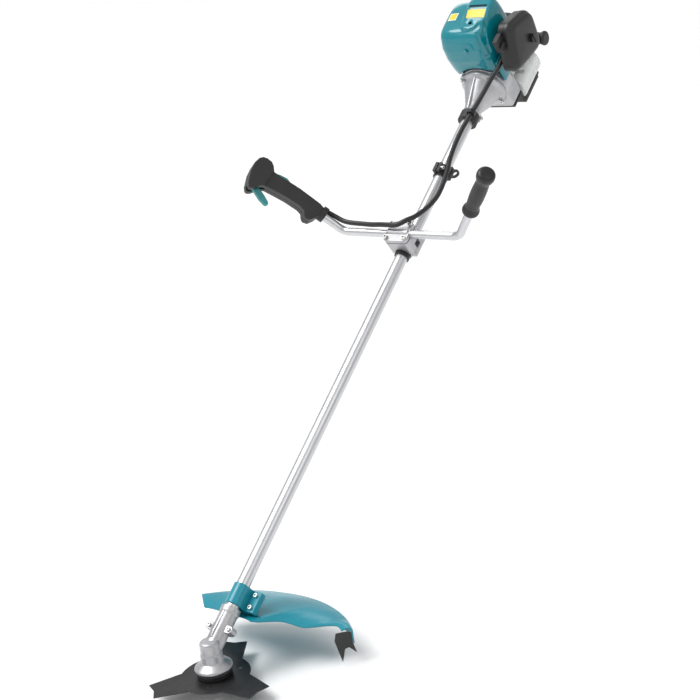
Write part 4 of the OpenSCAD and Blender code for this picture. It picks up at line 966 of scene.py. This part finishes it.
class BRUSHCUTTER_OT_engine_cover(Operator):
    """The gloss engine cover with its bonnet, boss, flutes, vents and plain labels, and a block of painted
    shade in the bonnet's mouth
    """

    bl_idname = "brushcutter.engine_cover"
    bl_label = "Engine Cover"

    def execute(self, context):
        sizes = context.scene.brush_cutter_sizes
        rows, columns = 150, 240
        skin, (top, bottom) = cover_skin(rows, columns)
        points = [top, *skin.reshape(-1, 3), bottom]
        faces = [(0, 1 + j, 1 + (j + 1) % columns) for j in range(columns)]
        for i in range(rows - 1):
            for j in range(columns):
                k = (j + 1) % columns
                a, b = 1 + i * columns, 1 + (i + 1) * columns
                faces.append((a + j, b + j, b + k, a + k))
        last = 1 + (rows - 1) * columns
        faces += [
            (len(points) - 1, last + (j + 1) % columns, last + j) for j in range(columns)
        ]
        cover = clean(mesh_object("engine_cover_moulding", points, faces, ENGINE))
        solid = BVHTree.FromObject(cover, bpy.context.evaluated_depsgraph_get())
        wall = cover.modifiers.new("Wall", "SOLIDIFY")
        wall.thickness, wall.offset = sizes.cover_wall, -1
        bpy.context.view_layer.update()
        settle(cover)
        cutters = [
            block("below", (-150, 20, -300), (150, 320, COVER_LOW), ENGINE),
            turned("arch", [(70, ARCH_R), (145, ARCH_R)], ENGINE @ along_y()),
            turned("starter", [(210, STARTER_R), (270, STARTER_R)], ENGINE @ along_y()),
            block("intake", (46, 139, 28), (90, 199, 106), ENGINE),
            turned(
                "screw", [(-12, 4.2), (30, 4.2)],
                ENGINE @ Matrix.Translation((*SCREW_AT, COVER_HIGH)), 32,
            ),
            block("mouth", (BONNET_MID[0] - 22, 180, 158), (BONNET_MID[0] + 24, 187, 180), ENGINE),
        ]
        cutters += [
            block("slot", (-44, 205, 66 + 11 * i), (26, 250, 71 + 11 * i), ENGINE) for i in range(6)
        ]
        for cutter in cutters:
            carve(cover, cutter)
        skirt = block("skirt", (54.5, 103, 10), (61, 139, 66), ENGINE)
        fuse(cover, ease_edges(skirt, 0.0026, 4))
        smooth(cover, 32)
        mount(cover, "Cover Teal", "machine", ["engine_cover"])

        # A near-black block set inside the bonnet's mouth: painted shade for the dark inside of the vent
        # recess.
        mouth = block(
            "bonnet_vent", (BONNET_MID[0] - 21.9, 180.1, 160), (BONNET_MID[0] + 23.9, 186.9, 164.6),
            ENGINE,
        )
        mount(mouth, "Vent Black")
        for name, low, high, finish, lift in (
            ("bonnet_label", (1, 155), (48, 174), "Label Yellow", 0.5),
            ("side_label_edge", (-56, 160), (-34, 182), "Label White", 0.6),
            ("side_label", (-53.5, 162.5), (-36.5, 179.5), "Label Yellow", 1.0),
        ):
            self.label(name, low, high, finish, lift, solid)
        return {"FINISHED"}

    def label(self, name, low, high, finish, lift, solid):
        """A thin field that lies on the cover, seen from above the engine."""
        steps = 24
        down = (ENGINE.to_3x3() @ Vector((0, 0, -1))).normalized()
        grid = []
        for i in range(steps + 1):
            for j in range(steps + 1):
                x = low[0] + (high[0] - low[0]) * i / steps
                e = low[1] + (high[1] - low[1]) * j / steps
                hit, normal, _, _ = solid.ray_cast(ENGINE @ Vector((x, e, 240)), down)
                if hit is None:
                    raise RuntimeError(f"{name} misses the cover at {x:.0f}, {e:.0f}")
                grid.append(hit + normal * lift * 0.001)
        faces = [
            (i * (steps + 1) + j, (i + 1) * (steps + 1) + j,
             (i + 1) * (steps + 1) + j + 1, i * (steps + 1) + j + 1)
            for i in range(steps) for j in range(steps)
        ]
        made = mesh_object(name, grid, faces, Matrix.Identity(4))
        thick = made.modifiers.new("Thickness", "SOLIDIFY")
        thick.thickness, thick.offset = 0.0009, -1
        bpy.context.view_layer.update()
        settle(made)
        mount(smooth(clean(made), 50), finish)


# ---------------------------------------------------------------- air cleaner
CLEANER_LOBES = ((198, 88, 32), (192, 42, 26), (112, 58, 20), (150, 118, 22))
CLEANER_X = 94.0


def cleaner_outline(grow, count=160):
    """Outline of the cover round its lobes, evenly spaced by direction."""
    t = np.linspace(0, 2 * math.pi, count, endpoint=False)
    reach = np.array(
        [[e * math.cos(a) + n * math.sin(a) + r + grow for e, n, r in CLEANER_LOBES] for a in t]
    )
    support = reach.max(axis=1)
    for _ in range(3):
        support = (np.roll(support, 1) + 4 * support + np.roll(support, -1)) / 6
    slope = (np.roll(support, -1) - np.roll(support, 1)) / (t[2] - t[0])
    return np.column_stack(
        (support * np.cos(t) - slope * np.sin(t), support * np.sin(t) + slope * np.cos(t))
    )


class BRUSHCUTTER_OT_air_cleaner(Operator):
    """The deep air cleaner cover, rounded over a creased rim"""

    bl_idname = "brushcutter.air_cleaner"
    bl_label = "Air Cleaner"

    def execute(self, context):
        profile = [
            (-1.2, 0.0), (0, 0.8), (0, 8.0), (-0.6, 10.5), (-2.2, 12.8), (-5.0, 15.4), (-6.0, 17.5),
            (-7.4, 19.6), (-10, 21.4), (-13.5, 22.6),
        ]
        rings = []
        for grow, rise in profile:
            ring = cleaner_outline(grow)
            rings.append(np.column_stack((np.full(len(ring), CLEANER_X + rise), ring)))
        centre = rings[-1].mean(axis=0)
        flat = rings[-1].copy()
        for k in (0.86, 0.68, 0.45, 0.22, 0.04):
            ring = centre + (flat - centre) * k
            ring[:, 0] = CLEANER_X + 22.6 + 1.4 * (1 - k * k)
            rings.append(ring)
        points, faces = stacked(rings)
        cover = clean(mesh_object("cleaner_cover_moulding", points, faces, ENGINE))
        carve(
            cover,
            turned("knob_bore", [(12, 4.05), (40, 4.05)], ENGINE @ along_x(CLEANER_X, 182, 62), 48),
        )
        smooth(cover, 50)
        mount(cover, "Black Plastic", "machine", ["air_cleaner_cover"])
        return {"FINISHED"}


# ---------------------------------------------------------------- small pieces
def nodes_tree(name, inputs):
    """A Geometry Nodes tree with named inputs, its start node and its inputs' identifiers."""
    tree = bpy.data.node_groups.new(name, "GeometryNodeTree")
    tree.interface.new_socket("Geometry", in_out="INPUT", socket_type="NodeSocketGeometry")
    sockets = {}
    for label, kind, value in (*inputs, ("Finish", "NodeSocketMaterial", None)):
        socket = tree.interface.new_socket(label, in_out="INPUT", socket_type=kind)
        if value is not None:
            socket.default_value = value
        sockets[label] = socket.identifier
    tree.interface.new_socket("Geometry", in_out="OUTPUT", socket_type="NodeSocketGeometry")
    return tree, tree.nodes.new("NodeGroupInput"), sockets


def close_tree(tree, start, geometry):
    """Ends a tree in Realize Instances and Set Material."""
    real = tree.nodes.new("GeometryNodeRealizeInstances")
    wire(tree, geometry, real.inputs["Geometry"])
    paint = tree.nodes.new("GeometryNodeSetMaterial")
    wire(tree, real.outputs["Geometry"], paint.inputs["Geometry"])
    wire(tree, start.outputs["Finish"], paint.inputs["Material"])
    wire(tree, paint.outputs["Geometry"], tree.nodes.new("NodeGroupOutput").inputs["Geometry"])


def made_by_tree(source, tree, sockets, values, name, place):
    """What a tree makes of an object, as a plain mesh; the source is used up."""
    nodes = source.modifiers.new("Nodes", "NODES")
    nodes.node_group = tree
    for label, value in values.items():
        nodes[sockets[label]] = value
    graph = bpy.context.evaluated_depsgraph_get()
    mesh = bpy.data.meshes.new_from_object(source.evaluated_get(graph), depsgraph=graph)
    bpy.data.objects.remove(source)
    mesh.transform(place)
    made = bpy.data.objects.new(name, mesh)
    bpy.context.scene.collection.objects.link(made)
    return clean(made)


def tube_tree():
    """A sleeve of a given diameter swept along a path."""
    tree, start, sockets = nodes_tree(
        "Sleeve Along Path",
        [("Diameter", "NodeSocketFloat", 0.011), ("Spacing", "NodeSocketFloat", 0.004)],
    )
    even = tree.nodes.new("GeometryNodeResampleCurve")
    even.mode = "LENGTH"
    wire(tree, start.outputs["Geometry"], even.inputs["Curve"])
    wire(tree, start.outputs["Spacing"], even.inputs["Length"])
    ring = tree.nodes.new("GeometryNodeCurvePrimitiveCircle")
    ring.inputs["Resolution"].default_value = 28
    wire(tree, math_node(tree, "MULTIPLY", start.outputs["Diameter"], 0.5), ring.inputs["Radius"])
    sweep = tree.nodes.new("GeometryNodeCurveToMesh")
    sweep.inputs["Fill Caps"].default_value = True
    wire(tree, even.outputs["Curve"], sweep.inputs["Curve"])
    wire(tree, ring.outputs["Curve"], sweep.inputs["Profile Curve"])
    close_tree(tree, start, sweep.outputs["Mesh"])
    return tree, sockets


def ring_tree():
    """Copies of a piece set round an axis."""
    tree, start, sockets = nodes_tree(
        "Pieces Round An Axis",
        [("Count", "NodeSocketInt", 12), ("Radius", "NodeSocketFloat", 0.02)],
    )
    circle = tree.nodes.new("GeometryNodeMeshCircle")
    wire(tree, start.outputs["Count"], circle.inputs["Vertices"])
    wire(tree, start.outputs["Radius"], circle.inputs["Radius"])
    where = tree.nodes.new("GeometryNodeInputPosition")
    aim = tree.nodes.new("FunctionNodeAlignEulerToVector")
    aim.axis = "X"
    wire(tree, where.outputs["Position"], aim.inputs["Vector"])
    spread = tree.nodes.new("GeometryNodeInstanceOnPoints")
    wire(tree, circle.outputs["Mesh"], spread.inputs["Points"])
    wire(tree, start.outputs["Geometry"], spread.inputs["Instance"])
    wire(tree, aim.outputs["Rotation"], spread.inputs["Rotation"])
    close_tree(tree, start, spread.outputs["Instances"])
    return tree, sockets


CABLE_ROUTE = [
    (-193, 1001, 88), (-182, 1000, 76), (-168, 998, 66), (-150, 994, 58), (-130, 992, 55),
    (-100, 991, 54), (-70, 989, 55), (-45, 987, 59), (-20, 984, 63), (3, 985, 64), (20, 998, 63),
    (31, 1018, 53), (38, 1052, 40), (42, 1085, 32), (41, 1115, 29), (37, 1145, 28),
    (31, 1175, 27), (24, 1200, 26), (18, 1245, 25), (17, 1290, 25), (20, 1320, 26),
    (23, 1335, 28), (31, 1350, 33), (44, 1380, 44), (56, 1408, 55), (66, 1434, 62),
    (70, 1460, 66), (70, 1488, 66),
]


class BRUSHCUTTER_OT_cable(Operator):
    """The throttle cable's sleeve, held along its whole route"""

    bl_idname = "brushcutter.cable"
    bl_label = "Throttle Cable"

    def execute(self, context):
        sizes = context.scene.brush_cutter_sizes
        line = bpy.data.curves.new("cable_route", "CURVE")
        line.dimensions = "3D"
        path = curve_points(CABLE_ROUTE, 6)
        spline = line.splines.new("POLY")
        spline.points.add(len(path) - 1)
        for point, place in zip(spline.points, path):
            point.co = (*(SHAFT @ Vector(place)), 1.0)
        made = bpy.data.objects.new("cable_route", line)
        context.scene.collection.objects.link(made)
        tree, sockets = tube_tree()
        values = {"Diameter": sizes.sleeve_d, "Finish": bpy.data.materials["Black Rubber"]}
        sleeve = made_by_tree(
            made, tree, sockets, values, "throttle_cable_sleeve", Matrix.Identity(4)
        )
        smooth(sleeve, 50)
        mount(sleeve, "Black Rubber", "machine", ["throttle_cable"])
        return {"FINISHED"}


class BRUSHCUTTER_OT_grips(Operator):
    """The plain grip's rubber: raised rings along its middle between two flared ends"""

    bl_idname = "brushcutter.grips"
    bl_label = "Grips"

    def execute(self, context):
        low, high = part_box("plain_grip")
        if (high - low).length < 0.05:
            raise RuntimeError("the plain grip is missing")
        base, length, r = ARM_LEN - 142 + 4, 142, 15
        rows = [
            (0, r - 3.6), (0.8, r - 2.6), (2, r + 1.2), (4, r + 3.0), (6, r + 3.5), (9, r + 3.4), (12, r + 3.0),
            (16, r + 1.2), (22, r - 1), (34, r - 0.6), (45, r + 0.2), (55, r + 0.6), (68, r + 0.7),
            (80, r + 0.6), (90, r + 0.2), (100, r - 0.4), (108, r - 0.9), (112, r - 1), (116, r + 0.4),
            (length - 22, r + 2.4), (length - 18, r + 3.6), (length - 12, r + 4.5),
            (length - 8, r + 4.3), (length - 4, r + 3.3), (length - 1.2, r + 0.6), (length, r - 2.4),
        ]
        heights = np.linspace(0, length, 220)
        radii = eased(np.interp(heights, [q[0] for q in rows], [q[1] for q in rows]), 3)
        ridge = 0.35 * np.maximum(0, np.sin(heights * 2 * math.pi / 5)) ** 2
        radii += ridge * ((heights > 26) & (heights < 106))
        grip = turned("plain_grip_rubber", list(zip(heights, radii)),
                      _arm(1) @ Matrix.Translation((0, 0, base)), 80)
        clean(grip)
        carve(grip, turned("bar_bore", [(-4, 9.5), (length - 4, 9.5)],
                           _arm(1) @ Matrix.Translation((0, 0, base)), 64))
        smooth(grip, 45)
        mount(grip, "Black Rubber", "machine", ["plain_grip"])
        return {"FINISHED"}


class BRUSHCUTTER_OT_starter(Operator):
    """The starter's rope between its housing and handle, and the ribs behind"""

    bl_idname = "brushcutter.starter"
    bl_label = "Starter"

    def execute(self, context):
        exit_e, exit_n = 266, -24
        path = [(x, exit_e, exit_n) for x in np.linspace(38, 58, 90)]
        rope = swept("starter_rope_run", path, 1.5, ENGINE, 16)
        rope.data.shade_smooth()
        rope.data.materials.append(bpy.data.materials["White Rope"])
        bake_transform(rope)
        rib = block("rib", (-6, -0.8, -1.4), (6, 0.8, 0.9), MM)
        ease_edges(rib, 0.0005, 2)
        tree, sockets = ring_tree()
        values = {"Count": 24, "Radius": 0.036, "Finish": bpy.data.materials["Black Plastic"]}
        place = ENGINE @ along_y(0, 283, 0) @ Matrix.Scale(1000, 4)
        ribs = made_by_tree(rib, tree, sockets, values, "starter_ribs", place)
        mount(smooth(ribs, 40), "Black Plastic")
        return {"FINISHED"}


class BRUSHCUTTER_OT_stage(Operator):
    """Pale floor, soft lights and the camera"""

    bl_idname = "brushcutter.stage"
    bl_label = "Stage"

    def execute(self, context):
        scene = context.scene
        low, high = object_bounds()
        middle = (low + high) / 2
        reach = 60.0
        floor = mesh_object(
            "floor",
            [(-reach, -reach, 0), (reach, -reach, 0), (reach, reach, 0), (-reach, reach, 0)],
            [(0, 1, 2, 3)],
            Matrix.Translation((middle.x, middle.y, low.z - 0.004)),
        )
        floor.data.materials.append(bpy.data.materials["Backdrop"])
        floor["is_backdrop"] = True

        camera = bpy.data.objects.new("camera", bpy.data.cameras.new("camera"))
        scene.collection.objects.link(camera)
        azimuth, elevation, roll = (math.radians(v) for v in (39.30, 17.98, -8.30))
        back = Vector(
            (
                math.sin(azimuth) * math.cos(elevation),
                -math.cos(azimuth) * math.cos(elevation),
                math.sin(elevation),
            )
        )
        across = Vector((math.cos(azimuth), math.sin(azimuth), 0))
        above = back.cross(across)
        right = across * math.cos(roll) + above * math.sin(roll)
        up = above * math.cos(roll) - across * math.sin(roll)
        turn = Matrix((right, up, back)).transposed().to_4x4()
        camera.matrix_world = Matrix.Translation((1.8901, -2.7594, 0.7116)) @ turn
        camera.data.sensor_width, camera.data.lens = 36, 78.876
        camera.data.clip_end = 60
        scene.camera = camera

        world = bpy.data.worlds.new("studio")
        world.use_nodes = True
        world.node_tree.nodes["Background"].inputs["Color"].default_value = (1, 1, 1, 1)
        world.node_tree.nodes["Background"].inputs["Strength"].default_value = 0.6
        scene.world = world
        scene.view_settings.view_transform = "Standard"
        power = scene.brush_cutter_sizes.key_light
        sun = bpy.data.objects.new("sun", bpy.data.lights.new("sun", "SUN"))
        sun.data.energy, sun.data.angle = 2.0, math.radians(35)
        sun.rotation_euler = (math.radians(18), math.radians(-22), 0)
        scene.collection.objects.link(sun)
        for name, place, size, share in (
            ("key", (-1.4, -2.4, 3.0), 1.6, 1.0),
            ("fill", (3.0, -0.6, 2.4), 1.8, 0.5),
            ("rim", (-2.0, 2.4, 2.6), 1.6, 0.6),
        ):
            light = bpy.data.lights.new(name, "AREA")
            light.shape, light.size, light.energy = "SQUARE", size, power * share
            lamp = bpy.data.objects.new(name, light)
            scene.collection.objects.link(lamp)
            lamp.location = middle + Vector(place)
            lamp.rotation_mode = "QUATERNION"
            lamp.rotation_quaternion = (-Vector(place)).to_track_quat("-Z", "Y")
        return {"FINISHED"}


STEPS = (
    BRUSHCUTTER_OT_finishes,
    BRUSHCUTTER_OT_castings,
    BRUSHCUTTER_OT_tubes,
    BRUSHCUTTER_OT_handlebar,
    BRUSHCUTTER_OT_guard,
    BRUSHCUTTER_OT_engine_cover,
    BRUSHCUTTER_OT_air_cleaner,
    BRUSHCUTTER_OT_cable,
    BRUSHCUTTER_OT_grips,
    BRUSHCUTTER_OT_starter,
    BRUSHCUTTER_OT_stage,
)


class BRUSHCUTTER_PT_panel(Panel):
    """Steps that build the brush cutter's looks"""

    bl_idname = "BRUSHCUTTER_PT_panel"
    bl_label = "Brush Cutter"
    bl_space_type = "VIEW_3D"
    bl_region_type = "UI"
    bl_category = "Brush Cutter"

    def draw(self, context):
        layout = self.layout
        for group_name in ("brush_cutter_sizes", "brush_cutter_colours"):
            values = getattr(context.scene, group_name)
            for key in values.__annotations__:
                layout.prop(values, key)
        for step in STEPS:
            layout.operator(step.bl_idname)


CLASSES = (BrushCutterColours, BrushCutterSizes, *STEPS, BRUSHCUTTER_PT_panel)


def register():
    for cls in CLASSES:
        bpy.utils.register_class(cls)
    bpy.types.Scene.brush_cutter_colours = PointerProperty(type=BrushCutterColours)
    bpy.types.Scene.brush_cutter_sizes = PointerProperty(type=BrushCutterSizes)


def unregister():
    del bpy.types.Scene.brush_cutter_sizes
    del bpy.types.Scene.brush_cutter_colours
    for cls in reversed(CLASSES):
        bpy.utils.unregister_class(cls)


def main():
    """Builds everything in order."""
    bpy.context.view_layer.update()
    register()
    for step in STEPS:
        part, name = step.bl_idname.split(".")
        getattr(getattr(bpy.ops, part), name)()
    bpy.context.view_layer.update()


if __name__ == "__main__":
    main()
